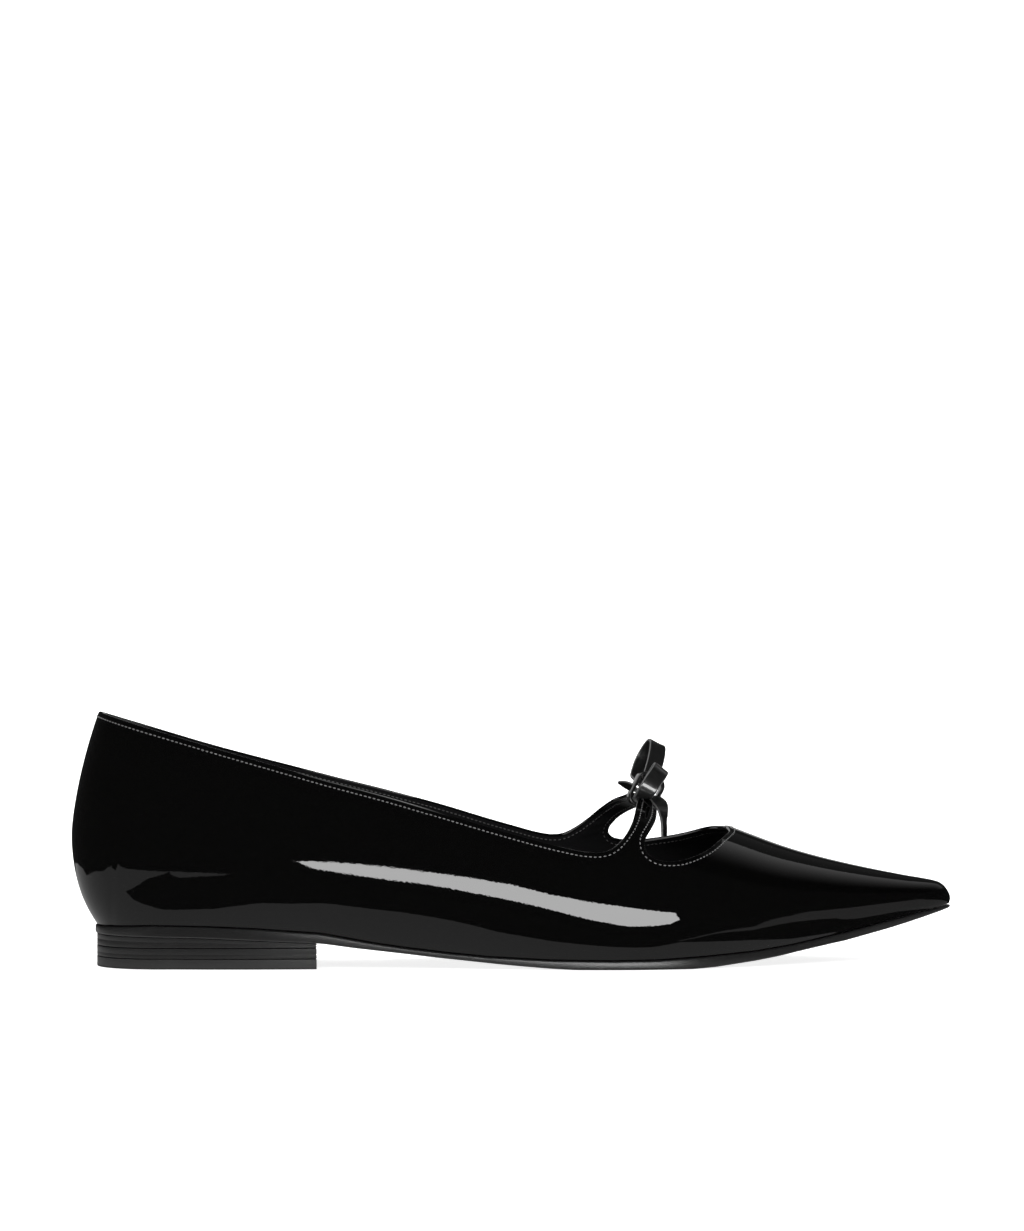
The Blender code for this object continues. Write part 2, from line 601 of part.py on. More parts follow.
# Bow
over_knot = (LOOP_OUTER[-1], (0.0, LOOP_TOP_IN_KNOT, 0.0, 0.0), LOOP_INNER[0])
under_knot = (LOOP_INNER[-1], (0.0, LOOP_BOTTOM_IN_KNOT, 0.0, 0.0), LOOP_OUTER[0])
loops = [row for line in (LOOP_OUTER, over_knot, LOOP_INNER, under_knot) for row in rounded(line, 3)[:-1]]
band(
    "bow_loops",
    [(-back, sideways, above) for sideways, above, back, _ in loops],
    [(1.0, 0.0, rise) for _, _, _, rise in loops],
    RIBBON_WIDTH,
    RIBBON_THICKNESS,
    True,
    ribbon,
)
tails = np.array(rounded(TAILS, 2))
band("bow_tails", tails[:, :3], tails[:, 3:6], TAIL_WIDTH, TAIL_THICKNESS, False, ribbon, tails[:, 6])
wrap = knot_path()
band("bow_knot", wrap, [(0, 1, 0)] * len(wrap), WRAP_WIDTH, KNOT_WALL, True, ribbon)
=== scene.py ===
# %% [markdown]
# # Pointed toe flat shoe
# A right shoe in black patent leather, with two straps over the instep and a small ribbon bow. The packed
# model comes in as a fixed frame; the fine surfaces are built on the same last, in the same place.

# %% Frame
import math

import bmesh
import bpy
import numpy as np
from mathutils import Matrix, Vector


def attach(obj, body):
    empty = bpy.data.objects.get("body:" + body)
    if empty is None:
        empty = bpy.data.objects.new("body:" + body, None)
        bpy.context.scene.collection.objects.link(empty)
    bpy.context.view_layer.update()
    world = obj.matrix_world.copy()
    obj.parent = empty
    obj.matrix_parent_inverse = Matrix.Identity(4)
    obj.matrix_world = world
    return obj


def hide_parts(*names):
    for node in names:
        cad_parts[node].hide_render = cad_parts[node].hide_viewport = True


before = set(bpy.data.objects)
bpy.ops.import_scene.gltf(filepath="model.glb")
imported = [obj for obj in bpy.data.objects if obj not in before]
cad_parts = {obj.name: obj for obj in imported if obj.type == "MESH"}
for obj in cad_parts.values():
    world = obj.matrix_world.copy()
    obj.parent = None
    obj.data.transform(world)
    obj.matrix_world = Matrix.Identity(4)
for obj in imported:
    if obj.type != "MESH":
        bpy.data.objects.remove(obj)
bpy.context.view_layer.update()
print("nodes", sorted(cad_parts))

# %% [markdown]
# The camera stands a little toward the heel, with a long lens, so the shoe is seen from its outer side. It
# looks almost level, from just above the top of the shoe, and the shoe lies low in the frame.

# %% Camera
CAMERA_TURN = math.radians(-5.5)
CAMERA_DISTANCE = 1.4
CAMERA_RISE = 0.003
CAMERA_SENSOR = 36.0
CAMERA_LENS = 135.1
AIM = Vector((-0.0012, 0.0, 0.105))


def add_object(name, data):
    made = bpy.data.objects.new(name, data)
    bpy.context.scene.collection.objects.link(made)
    return made


def make_camera():
    data = bpy.data.cameras.new("camera")
    data.sensor_width = CAMERA_SENSOR
    data.lens = CAMERA_LENS
    camera = add_object("camera", data)
    away = Vector((math.sin(CAMERA_TURN), -math.cos(CAMERA_TURN), CAMERA_RISE))
    camera.location = AIM + CAMERA_DISTANCE * away
    camera.rotation_euler = (AIM - camera.location).to_track_quat("-Z", "Y").to_euler()
    bpy.context.scene.camera = camera
    return camera


camera = make_camera()
print("camera", [round(v, 3) for v in camera.location])

# %% [markdown]
# The last gives the upper its form. Its cross sections stand along the shoe; at the heel they fan round the
# back, and at the toe the two sides run together to a rounded point. All lengths here are millimetres.

# %% Last
MM = 0.001
TOTAL_LENGTH = 268.5
WALL = 1.7
# x, widest half width outer and inner, half width at the sole outer and inner, height of the widest line,
# height of the crown, roundness of the crown
LAST = (
    (30.0, 26.5, 26.5, 20.5, 20.5, 33.0, 110.0, 2.20),
    (45.0, 28.6, 28.0, 22.5, 21.6, 32.0, 107.0, 2.20),
    (70.0, 30.0, 28.0, 23.8, 21.0, 29.5, 101.0, 2.20),
    (100.0, 31.2, 27.8, 25.0, 20.6, 25.0, 87.0, 2.20),
    (125.0, 34.8, 30.4, 29.5, 24.2, 21.5, 72.0, 2.20),
    (150.0, 38.2, 34.8, 34.2, 30.4, 18.8, 59.5, 2.20),
    (170.0, 38.8, 37.2, 35.4, 33.8, 17.6, 51.5, 2.15),
    (185.0, 36.4, 37.2, 33.2, 34.2, 17.0, 45.9, 2.10),
    (200.0, 31.2, 34.2, 28.4, 31.4, 16.6, 40.8, 2.05),
    (215.0, 25.3, 27.9, 22.6, 25.4, 16.2, 35.2, 2.00),
    (230.0, 19.7, 21.6, 17.0, 19.5, 16.5, 30.8, 2.00),
    (245.0, 13.8, 15.1, 11.7, 13.3, 17.4, 27.4, 2.00),
    (255.0, 9.7, 10.5, 7.8, 8.9, 18.2, 25.4, 2.00),
)
# Reach at the widest line, reach at the sole, their heights and the roundness, at the very back of the heel
HEEL_END = (30.0, 22.4, 38.3, 110.0, 1.50)
HEEL_ROUNDNESS = 2.25
# Spread of the sides and radius of the point: upper outer, upper inner, sole outer, sole inner
TIP_SHAPES = ((0.355, 2.6), (0.400, 3.0), (0.330, 1.9), (0.385, 2.4))
TOE_START = 230.0
UPPER_TIP_X = 268.5
SOLE_TIP_X = 268.2
TIP_HEIGHT = 18.3
# Square root of the distance from the tip, height of the crown
TIP_CROWN = ((0.0, 18.3), (0.95, 20.8), (1.64, 22.8), (2.41, 24.0), (2.97, 24.6), (3.674, 25.4))
TUCK_ANGLE = math.radians(30)
SWING_START = 200.0
SWING = 3.6
MIDDLE_X = TOTAL_LENGTH / 2
# Line where upper and sole meet, and the underside of the outsole: x, height
FEATHER = (
    (0.0, 12.6), (7.6, 12.7), (23.3, 13.3), (40.0, 13.0), (53.6, 12.4), (73.9, 10.9), (80.9, 9.6),
    (90.0, 7.9), (99.0, 6.6), (111.0, 5.2), (123.0, 4.1), (141.5, 3.2), (160.0, 3.0), (174.0, 3.2),
    (189.0, 4.0), (203.6, 5.0), (214.8, 6.4), (225.8, 8.3), (233.0, 9.7), (240.6, 11.3), (247.9, 12.8),
    (255.0, 14.3), (262.4, 15.7), (267.0, 16.6), (270.0, 17.2),
)
TREAD = (
    (0.0, 9.9), (7.6, 9.9), (40.0, 9.2), (74.0, 7.6), (84.0, 6.2), (90.0, 5.5), (96.0, 4.8), (102.0, 4.1),
    (108.0, 3.4), (114.0, 2.8), (120.0, 2.2), (126.0, 1.6), (133.0, 1.0), (141.0, 0.4), (149.0, 0.0),
    (184.0, 0.0), (191.0, 0.4), (203.8, 1.85), (211.0, 2.9), (218.5, 4.3), (233.0, 6.9), (247.8, 10.2),
    (255.0, 12.0), (262.5, 14.0), (267.0, 15.2), (270.0, 15.9),
)


def spline(rows, column):
    """A natural cubic spline through one column of a table, over its first column."""
    xs = np.array([row[0] for row in rows])
    ys = np.array([row[column] for row in rows])
    count = len(xs)
    step = np.diff(xs)
    matrix = np.eye(count)
    right = np.zeros(count)
    for i in range(1, count - 1):
        matrix[i, i - 1 : i + 2] = step[i - 1], 2 * (step[i - 1] + step[i]), step[i]
        right[i] = 6 * ((ys[i + 1] - ys[i]) / step[i] - (ys[i] - ys[i - 1]) / step[i - 1])
    bend = np.linalg.solve(matrix, right)

    def value(x):
        i = min(max(int(np.searchsorted(xs, x)) - 1, 0), count - 2)
        a, b = xs[i + 1] - x, x - xs[i]
        left = (ys[i] / step[i] - bend[i] * step[i] / 6) * a
        line = left + (ys[i + 1] / step[i] - bend[i + 1] * step[i] / 6) * b
        return (bend[i] * a**3 + bend[i + 1] * b**3) / (6 * step[i]) + line

    return value


def straight(rows):
    xs = [row[0] for row in rows]
    ys = [row[1] for row in rows]
    return lambda x: float(np.interp(x, xs, ys))


OUTER, INNER, SOLE_OUTER, SOLE_INNER, WIDEST, LAST_CROWN, ROUND = (spline(LAST, i) for i in range(1, 8))
OVER_TIP = spline(TIP_CROWN, 1)
feather_height = straight(FEATHER)
tread_height = straight(TREAD)


def crown_height(x):
    if x <= LAST[-1][0]:
        return LAST_CROWN(x)
    return OVER_TIP(math.sqrt(max(UPPER_TIP_X - x, 0.0)))


def half_width(x, outline, body, tip_x):
    if x < TOE_START:
        return body(x)
    spread, radius = TIP_SHAPES[outline]
    left = max(tip_x - x, 0.0)
    return math.sqrt(2 * radius * left + (spread * left) ** 2)


def around(across, along, turn):
    """Reach in a direction turned from across to along, on the heel's rounded outline."""
    power = HEEL_ROUNDNESS
    share = (abs(math.cos(turn)) / across) ** power + (abs(math.sin(turn)) / along) ** power
    return share ** (-1 / power)


def section(x, side, turn=0.0):
    """Reach at the widest line and at the sole, height of the widest line and the crown, roundness."""
    if side < 0:
        wide, sole = half_width(x, 0, OUTER, UPPER_TIP_X), half_width(x, 2, SOLE_OUTER, SOLE_TIP_X)
    else:
        wide, sole = half_width(x, 1, INNER, UPPER_TIP_X), half_width(x, 3, SOLE_INNER, SOLE_TIP_X)
    widest, crown, roundness = WIDEST(x), crown_height(x), ROUND(x)
    if x > TOE_START:
        widest = min(widest, TIP_HEIGHT)
    if turn:
        end_wide, end_sole, end_widest, end_crown, end_round = HEEL_END
        share = math.sin(turn) ** 2
        wide, sole = around(wide, end_wide, turn), around(sole, end_sole, turn)
        widest += (end_widest - widest) * share
        crown += (end_crown - crown) * share
        roundness += (end_round - roundness) * share
    return wide, sole, widest, crown, roundness


TUCK_ROWS = 12
SIDE_ROWS = 60


def column(x, side, turn=0.0):
    """One column of points on the last, from the sole's edge over the widest line to the crown."""
    wide, sole, widest, crown, roundness = section(x, side, turn)
    dx, dy = -math.sin(turn), side * math.cos(turn)
    foot = feather_height(x + dx * sole)
    if x > SOLE_TIP_X:
        share = math.sqrt((UPPER_TIP_X - x) / (UPPER_TIP_X - SOLE_TIP_X))
        foot = TIP_HEIGHT + (foot - TIP_HEIGHT) * share
    points = []
    for i in range(TUCK_ROWS):
        angle = TUCK_ANGLE + (math.pi / 2 - TUCK_ANGLE) * i / TUCK_ROWS
        reach = sole + (wide - sole) * (math.sin(angle) - math.sin(TUCK_ANGLE)) / (1 - math.sin(TUCK_ANGLE))
        points.append((reach, widest - (widest - foot) * math.cos(angle) / math.cos(TUCK_ANGLE)))
    for i in range(SIDE_ROWS + 1):
        angle = math.pi / 2 * i / SIDE_ROWS
        reach = wide * max(math.cos(angle), 0.0) ** (2 / roundness) if i < SIDE_ROWS else 0.0
        points.append((reach, widest + (crown - widest) * math.sin(angle) ** (2 / roundness)))
    return [(x + dx * reach, dy * reach, z) for reach, z in points]


FAN_RIBS = 36
# Start, end and number of ribs of each stretch of the body
BODY_RIBS = ((30, 150, 60), (150, 200, 72), (200, 250, 30))
TIP_RIBS = 26


def stations():
    """Places of the ribs: x on the last's middle line, and the turn of the fan round the heel."""
    fan = [(LAST[0][0], math.pi / 2 * (1 - i / FAN_RIBS)) for i in range(FAN_RIBS)]
    body = np.concatenate([np.linspace(start, end, count)[:-1] for start, end, count in BODY_RIBS])
    tip_length = UPPER_TIP_X - BODY_RIBS[-1][1]
    tip = [UPPER_TIP_X - tip_length * (1 - i / TIP_RIBS) ** 2 for i in range(TIP_RIBS + 1)]
    return fan + [(float(x), 0.0) for x in body] + [(x, 0.0) for x in tip]


ribs = stations()
grid = np.array([[column(x, side, turn) for side in (-1, 1)] for x, turn in ribs])
grid[0, :, :, 1] = 0.0
MIDDLE_Y = float(grid[..., 1].max() + grid[..., 1].min()) / 2


def place(points):
    """Points of the last in metres, from the middle of the shoe's outline, with the toe swung inward."""
    x, y, z = np.moveaxis(np.asarray(points, float), -1, 0)
    swing = SWING * (np.maximum(x - SWING_START, 0) / (TOTAL_LENGTH - SWING_START)) ** 2
    return np.stack([x - MIDDLE_X, y + swing - MIDDLE_Y, z], axis=-1) * MM


print("ribs", len(ribs), "middle", round(MIDDLE_Y, 2))

# %% [markdown]
# Patent leather is dyed leather under a thick clear film, so it has a coat that mirrors the room, over a
# black that is hardly lit at all.

# %% Materials


def new_material(name, colour, roughness, coat=0.0, coat_roughness=0.03):
    made = bpy.data.materials.new(name)
    made.use_nodes = True
    shader = made.node_tree.nodes["Principled BSDF"]
    shader.inputs["Base Color"].default_value = (*colour, 1.0)
    shader.inputs["Roughness"].default_value = roughness
    shader.inputs["Coat Weight"].default_value = coat
    shader.inputs["Coat Roughness"].default_value = coat_roughness
    return made


def add_bump(material, scale, strength, distance, detail=2.0):
    """Fine relief from noise that lies in the piece's own space."""
    tree = material.node_tree
    where = tree.nodes.new("ShaderNodeTexCoord")
    noise = tree.nodes.new("ShaderNodeTexNoise")
    noise.inputs["Scale"].default_value = scale
    noise.inputs["Detail"].default_value = detail
    bump = tree.nodes.new("ShaderNodeBump")
    bump.inputs["Strength"].default_value = strength
    bump.inputs["Distance"].default_value = distance
    tree.links.new(where.outputs["Object"], noise.inputs["Vector"])
    tree.links.new(noise.outputs["Fac"], bump.inputs["Height"])
    shader = tree.nodes["Principled BSDF"]
    tree.links.new(bump.outputs["Normal"], shader.inputs["Normal"])
    return bump


patent = new_material("patent", (0.0017, 0.0017, 0.0017), 0.25, 1.0, 0.02)
patent_shader = patent.node_tree.nodes["Principled BSDF"]
patent_shader.inputs["Specular IOR Level"].default_value = 0.0
film = add_bump(patent, 1300.0, 0.5, 0.00001)
patent.node_tree.links.new(film.outputs["Normal"], patent_shader.inputs["Coat Normal"])
lining = new_material("lining", (0.018, 0.018, 0.019), 0.30)
add_bump(lining, 900.0, 0.25, 0.0002, 4.0)
# The thread is black; its pale grey is a painted glint.
thread_painted_glint = new_material("thread_painted_glint", (0.18, 0.18, 0.18), 0.35)
sole_edge_black = new_material("sole_edge", (0.014, 0.014, 0.014), 0.30)
add_bump(sole_edge_black, 2500.0, 0.4, 0.0001, 3.0)
stack_black = new_material("stack", (0.018, 0.018, 0.018), 0.38)
add_bump(stack_black, 1800.0, 0.3, 0.0001, 3.0)
rubber_black = new_material("rubber", (0.032, 0.032, 0.032), 0.45)
add_bump(rubber_black, 1200.0, 0.2, 0.0001, 3.0)
sock_leather = new_material("sock_leather", (0.028, 0.027, 0.027), 0.5)
add_bump(sock_leather, 700.0, 0.3, 0.0002, 4.0)
ribbon_black = new_material("ribbon", (0.011, 0.011, 0.011), 0.30, 1.0, 0.04)
# The pale grey of the ribbon's edges is a painted highlight.
ribbon_edge_painted_highlight = new_material("ribbon_edge_painted_highlight", (0.12, 0.12, 0.12), 0.40)
# The paler grey of the sole's upper corner is a painted highlight; its roughness and grain are its own.
sole_rim_painted_highlight = new_material("sole_rim_painted_highlight", (0.035, 0.035, 0.035), 0.45)
add_bump(sole_rim_painted_highlight, 1800.0, 0.8, 0.0003, 3.0)

# %% [markdown]
# The collar and the front opening are lines on the last. On its side they are given by height; over the
# instep, where the last is flat, by how far sideways they have come. Both become an angle up the section.

# %% Openings
COLLAR_OUTER = (
    (8.4, 75.9), (14.4, 73.9), (24.3, 70.9), (40.3, 66.1), (54.2, 62.0), (74.9, 56.0), (98.8, 49.4),
    (111.7, 45.6), (127.8, 40.8), (144.2, 36.4), (152.0, 34.9), (157.0, 34.9), (160.6, 36.4), (164.3, 39.9),
    (167.6, 44.6),
)
COLLAR_INNER = (
    (8.4, 75.9), (13.6, 74.1), (25.1, 70.6), (43.6, 65.0), (61.9, 60.1), (80.2, 55.3), (98.4, 50.7),
    (116.8, 45.6), (135.3, 40.0), (143.5, 37.7), (149.3, 36.9), (154.0, 38.1), (159.3, 41.8), (163.6, 45.9),
    (167.0, 48.8),
)
THROAT_OUTER = (
    (174.1, 44.8), (172.1, 42.2), (170.3, 40.0), (169.4, 38.2), (169.3, 36.5), (169.9, 34.8), (171.3, 33.4),
    (173.3, 32.4), (176.9, 31.9), (181.5, 32.3), (186.8, 33.9), (191.4, 36.0), (196.2, 38.8), (198.8, 40.2),
)
THROAT_INNER = (
    (172.0, 46.6), (169.6, 44.8), (167.6, 42.7), (166.1, 40.4), (165.7, 38.3), (166.9, 36.4), (169.3, 35.5),
    (172.5, 35.2), (176.6, 35.3), (182.9, 36.3), (188.0, 37.5), (192.4, 38.9), (196.3, 40.3), (198.8, 40.6),
)
# The straps over the instep: sideways, back edge, front edge
STRAP_EDGES = (
    (-14.0, 170.3, 175.4), (-7.0, 171.0, 175.7), (0.0, 171.2, 175.8), (7.0, 170.5, 175.3),
    (14.0, 169.0, 174.1),
)
THROAT_END = 199.4
OPENINGS_END_X = 215
# Turns an angle up the section into a length, and the angle over the crown at which the outlines close
UNROLL = 33.0
PAST_CROWN = 1.9
# Rows of a collar from which its outline and its distance are taken on the unrolled side
COLLAR_FIRST_ROW = 3
COLLAR_SIDE_ROW = 4
# Behind those rows the collar's line goes on past the heel, and a height counts as a shorter distance
COLLAR_BEHIND_HEEL = (-20.0, 85.3)
HEIGHT_TO_DISTANCE = 0.95
OUTLINE_STEPS = 6
COLLAR_STEPS = 4


def rounded(points, steps):
    """A smooth line through the points."""
    points = [np.array(point, float) for point in points]
    padded = [2 * points[0] - points[1]] + points + [2 * points[-1] - points[-2]]
    line = []
    for i in range(1, len(padded) - 2):
        a, b, c, d = padded[i - 1 : i + 3]
        for k in range(steps):
            t = k / steps
            curve = (2 * a - 5 * b + 4 * c - d) * t**2 + (3 * b - a - 3 * c + d) * t**3
            line.append(0.5 * (2 * b + (c - a) * t + curve))
    return line + [points[-1]]


def climb(x, z, side):
    """How far up the section a height lies, as an angle times the last's radius."""
    _, _, widest, crown, roundness = section(x, side)
    share = min(max((z - widest) / (crown - widest), 0.0), 1.0)
    return math.asin(share ** (roundness / 2)) * UNROLL


def sidle(x, y, side):
    """The same for a point given by how far sideways it is."""
    wide, _, _, _, roundness = section(x, side)
    return math.acos(min(abs(y) / wide, 1.0) ** (roundness / 2)) * UNROLL


def outline_of_openings(side):
    """The collar and the front opening of one side, as closed lines of x and climb."""
    collar, throat = (COLLAR_OUTER, THROAT_OUTER) if side < 0 else (COLLAR_INNER, THROAT_INNER)
    over = [row for row in STRAP_EDGES if row[0] * side >= 0]
    over.sort(key=lambda row: -abs(row[0]))
    back = [(x, climb(x, z, side)) for x, z in collar[COLLAR_FIRST_ROW:]]
    back += [(row[1], sidle(row[1], row[0], side)) for row in over]
    front = [(row[2], sidle(row[2], row[0], side)) for row in reversed(over)]
    front += [(x, climb(x, z, side)) for x, z in throat] + [(THROAT_END, math.pi / 2 * UNROLL)]
    top = PAST_CROWN * UNROLL
    first_x = back[0][0]
    back = rounded(back, OUTLINE_STEPS) + [(over[-1][1], top), (first_x, top)]
    front = [(over[-1][2], top)] + rounded(front, OUTLINE_STEPS) + [(THROAT_END, top)]
    return np.array(back), np.array(front)


def distance(points, polygon):
    """Distance of points to a closed line, below zero inside it."""
    best = np.full(len(points), 1e9)
    inside = np.zeros(len(points), bool)
    for a, b in zip(polygon, np.roll(polygon, -1, axis=0)):
        edge = b - a
        length = max(float(edge @ edge), 1e-12)
        t = np.clip(((points - a) @ edge) / length, 0, 1)
        best = np.minimum(best, np.linalg.norm(points - a - t[:, None] * edge, axis=1))
        crosses = (a[1] > points[:, 1]) != (b[1] > points[:, 1])
        slope = edge[0] / edge[1] if abs(edge[1]) > 1e-12 else 0.0
        inside ^= crosses & (points[:, 0] < a[0] + (points[:, 1] - a[1]) * slope)
    return np.where(inside, -best, best)


def kept():
    """How far each point of the grid lies inside the leather; below zero it is in an opening."""
    value = np.full(grid.shape[:3], 1e3)
    side_climb = np.linspace(0, math.pi / 2, SIDE_ROWS + 1)
    row_climb = np.concatenate([np.full(TUCK_ROWS, -1.0), side_climb]) * UNROLL
    for s, side in enumerate((-1, 1)):
        collar = COLLAR_OUTER if side < 0 else COLLAR_INNER
        back, front = outline_of_openings(side)
        line = np.array([COLLAR_BEHIND_HEEL] + [tuple(p) for p in rounded(collar, COLLAR_STEPS)])
        for k, (x, turn) in enumerate(ribs):
            if x > OPENINGS_END_X:
                continue
            if x < collar[COLLAR_SIDE_ROW][0]:
                points = grid[k, s]
                below = np.interp(points[:, 0], line[:, 0], line[:, 1]) - points[:, 2]
                value[k, s] = below * HEIGHT_TO_DISTANCE
                continue
            points = np.stack([np.full(len(row_climb), x), row_climb], axis=1)
            value[k, s] = np.minimum(distance(points, back), distance(points, front))
    return value


keep = kept()
print("points cut away", int((keep < 0).sum()))

# %% [markdown]
# The grid is eased a little, so that the polished leather mirrors the room without a kink, and each point
# gets the direction that the surface faces. Then the grid is trimmed along the openings.

# %% Upper surface
EASING = 10
LAST_MIDDLE = np.array([150.0, 0.0, 20.0])
# In front of this place the points of the crown face square to its slope
CROWN_START_X = 150
SLOPE_REACH = 0.3
SHORTEST_RIM = 40


def loop_of(pairs):
    return np.concatenate([pairs[::-1, 0], pairs[1:, 1]])


def eased(loop):
    """The same surface with its bends spread out up each column, whose ends stay."""
    loop = loop.copy()
    for _ in range(EASING):
        up = loop.copy()
        up[:, 1:-1] = (loop[:, :-2] + 2 * loop[:, 1:-1] + loop[:, 2:]) / 4
        loop = up
    return loop


def facing(loop):
    """The direction that each point of the surface faces, outward."""
    along = np.roll(loop, -1, axis=0) - np.roll(loop, 1, axis=0)
    normal = np.cross(np.gradient(loop, axis=1), along)
    size = np.linalg.norm(normal, axis=2, keepdims=True)
    normal = normal / np.maximum(size, 1e-9)
    outward = loop - LAST_MIDDLE
    middle = TUCK_ROWS + 4
    if np.sum(normal[:, middle] * outward[:, middle]) < 0:
        normal = -normal
    for i in range(len(loop)):
        x = loop[i, -1, 0]
        if abs(loop[i, -1, 1]) < 1e-6 and x > CROWN_START_X:
            rise = crown_height(x + SLOPE_REACH) - crown_height(x - SLOPE_REACH)
            normal[i, -1] = np.array([-rise, 0.0, 2 * SLOPE_REACH]) / math.hypot(rise, 2 * SLOPE_REACH)
    normal[0] = normal[-1] = (1.0, 0.0, 0.0)
    return normal


loop = eased(loop_of(grid))
normals = facing(loop)
loop_keep = loop_of(keep)


def trimmed(points, normal, value):
    """The faces that are kept, cut along the zero line of value, and the cut edges in order."""
    columns, rows = value.shape
    index, out_points, out_normals, faces, cuts = {}, [], [], [], {}
    crown = {}

    def corner(c, r):
        if r == rows - 1:
            c = min(c, columns - 1 - c)
        if (c, r) not in index:
            index[c, r] = len(out_points)
            out_points.append(points[c, r])
            out_normals.append(normal[c, r])
        return index[c, r]

    def crossing(a, b):
        key = (a, b) if a < b else (b, a)
        if a[1] == rows - 1 and b[1] == rows - 1:
            key = tuple(sorted((min(c, columns - 1 - c), r) for c, r in (a, b)))
        if key not in index:
            t = value[a] / (value[a] - value[b])
            index[key] = len(out_points)
            out_points.append(points[a] * (1 - t) + points[b] * t)
            blend = normal[a] * (1 - t) + normal[b] * t
            out_normals.append(blend / np.linalg.norm(blend))
        return index[key]

    for c in range(columns - 1):
        for r in range(rows - 1):
            quad = [(c, r), (c + 1, r), (c + 1, r + 1), (c, r + 1)]
            inside = [value[q] > 0 for q in quad]
            if not any(inside):
                continue
            face, ends = [], []
            for i in range(4):
                a, b = quad[i], quad[(i + 1) % 4]
                if inside[i]:
                    face.append(corner(*a))
                if inside[i] != inside[(i + 1) % 4]:
                    cross = crossing(a, b)
                    face.append(cross)
                    ends.append((cross, inside[i]))
            face = [v for i, v in enumerate(face) if v != face[i - 1]]
            if len(face) > 2:
                faces.append(face)
            if len(ends) == 2:
                leaving = next(v for v, out in ends if out)
                entering = next(v for v, out in ends if not out)
                cuts[leaving] = entering
    return np.array(out_points), np.array(out_normals), faces, cuts


def chains(cuts):
    """The cut edges joined into closed lines."""
    left, found = dict(cuts), []
    while left:
        start = next(iter(left))
        line, at = [start], left.pop(start)
        while at != start and at in left:
            line.append(at)
            at = left.pop(at)
        found.append(line)
    return [line for line in found if len(line) > SHORTEST_RIM]


skin_points, skin_normals, skin_faces, cut_edges = trimmed(loop, normals, loop_keep)
rims = chains(cut_edges)
print("skin", len(skin_points), "points,", len(skin_faces), "faces, rims", [len(line) for line in rims])

# %% [markdown]
# The leather has set a little where it was pulled over the last: soft troughs lie below the collar beside
# the straps, across the vamp's sides and along the quarters. An upright seam lies on each side of the heel.

# %% Creases
# Start, end, width and depth of each trough
CREASES = (
    ((157.0, -33.5, 35.5), (166.0, -30.5, 43.0), 1.8, 0.16),
    ((149.0, -35.0, 35.5), (160.0, -32.5, 40.5), 2.0, 0.12),
    ((168.0, -33.0, 33.0), (176.0, -30.0, 38.0), 2.2, 0.10),
    ((183.0, -33.0, 27.0), (189.0, -22.0, 37.5), 3.4, 0.12),
    ((155.0, 32.5, 36.0), (164.0, 29.5, 43.5), 1.8, 0.15),
    ((181.0, 34.0, 27.0), (188.0, 23.0, 38.0), 3.4, 0.12),
    ((156.0, 31.5, 40.5), (167.0, 28.5, 43.0), 0.9, 0.16),
    ((158.0, 32.5, 38.0), (168.0, 30.0, 40.5), 0.9, 0.14),
    ((60.0, -29.0, 52.0), (78.0, -29.5, 46.0), 4.0, 0.10),
    ((96.0, 27.0, 38.0), (112.0, 28.0, 34.0), 4.0, 0.10),
)
SEAM_X = 12.0
SEAM_WIDTH = 1.1
SEAM_DEPTH = 0.12
SLOPE_STEP = 0.05


def relief(points):
    """How far the leather stands out over the last at each point."""
    height = np.zeros(len(points))
    for start, end, width, depth in CREASES:
        start, line = np.array(start), np.array(end) - np.array(start)
        share = np.clip((points - start) @ line / (line @ line), 0, 1)
        away = np.linalg.norm(points - start - share[:, None] * line, axis=1)
        height -= depth * np.exp(-((away / width) ** 2))
    return height - SEAM_DEPTH * np.exp(-(((points[:, 0] - SEAM_X) / SEAM_WIDTH) ** 2))


def creased(points, normal):
    """The points moved by the relief, and the directions they then face."""
    slope = np.stack(
        [relief(points + step) - relief(points - step) for step in np.eye(3) * SLOPE_STEP], axis=1
    ) / (2 * SLOPE_STEP)
    slope -= normal * np.sum(slope * normal, axis=1, keepdims=True)
    turned = normal - slope
    turned /= np.linalg.norm(turned, axis=1, keepdims=True)
    return points + normal * relief(points)[:, None], turned


skin_points, skin_normals = creased(skin_points, skin_normals)
print("creases", len(CREASES), "deepest", round(float(relief(skin_points).min()), 2))

# %% [markdown]
# A fine piece is made in millimetres on the last and then put in its place on the shoe.

# %% Surfaces


def turned_out(faces, points, normal):
    """The faces in the order that makes them face outward."""
    face = faces[len(faces) // 2]
    a, b, c = (points[i] for i in face[:3])
    return faces if np.dot(np.cross(b - a, c - a), normal[face[0]]) > 0 else [f[::-1] for f in faces]


def add_surface(name, points, faces, material, normal=None):
    """A smooth piece from points in millimetres on the last, riding on the shoe."""
    mesh = bpy.data.meshes.new(name)
    mesh.from_pydata(place(points).tolist(), [], faces)
    mesh.materials.append(material)
    mesh.shade_smooth()
    if normal is not None:
        mesh.normals_split_custom_set_from_vertices(normal.tolist())
    piece = add_object(name, mesh)
    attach(piece, "root")
    return piece


# %% [markdown]
# The cut edges of the leather are folded over. A bead follows each opening from the outside of the leather
# to the lining, and outside, bead and lining are one skin.

# %% Upper
EDGE_STEPS = 6
EDGE_BULGE = 0.55
LINING_END = 255.0


def along_rim(line, reach=0.8):
    """A closed rim's points, the leather's outward direction, the way into the opening, and lengths."""
    points, normal = skin_points[line], skin_normals[line]
    length = np.linalg.norm(np.roll(points, -1, axis=0) - points, axis=1)
    place_on = np.concatenate([[0], np.cumsum(length)[:-1]])
    total = length.sum()

    def at(s):
        return np.stack([np.interp(s, place_on, points[:, i], period=total) for i in range(3)], axis=1)

    along = at(place_on + reach) - at(place_on - reach)
    into = np.cross(along, normal)
    into /= np.linalg.norm(into, axis=1, keepdims=True)
    return points, normal, into, place_on, total


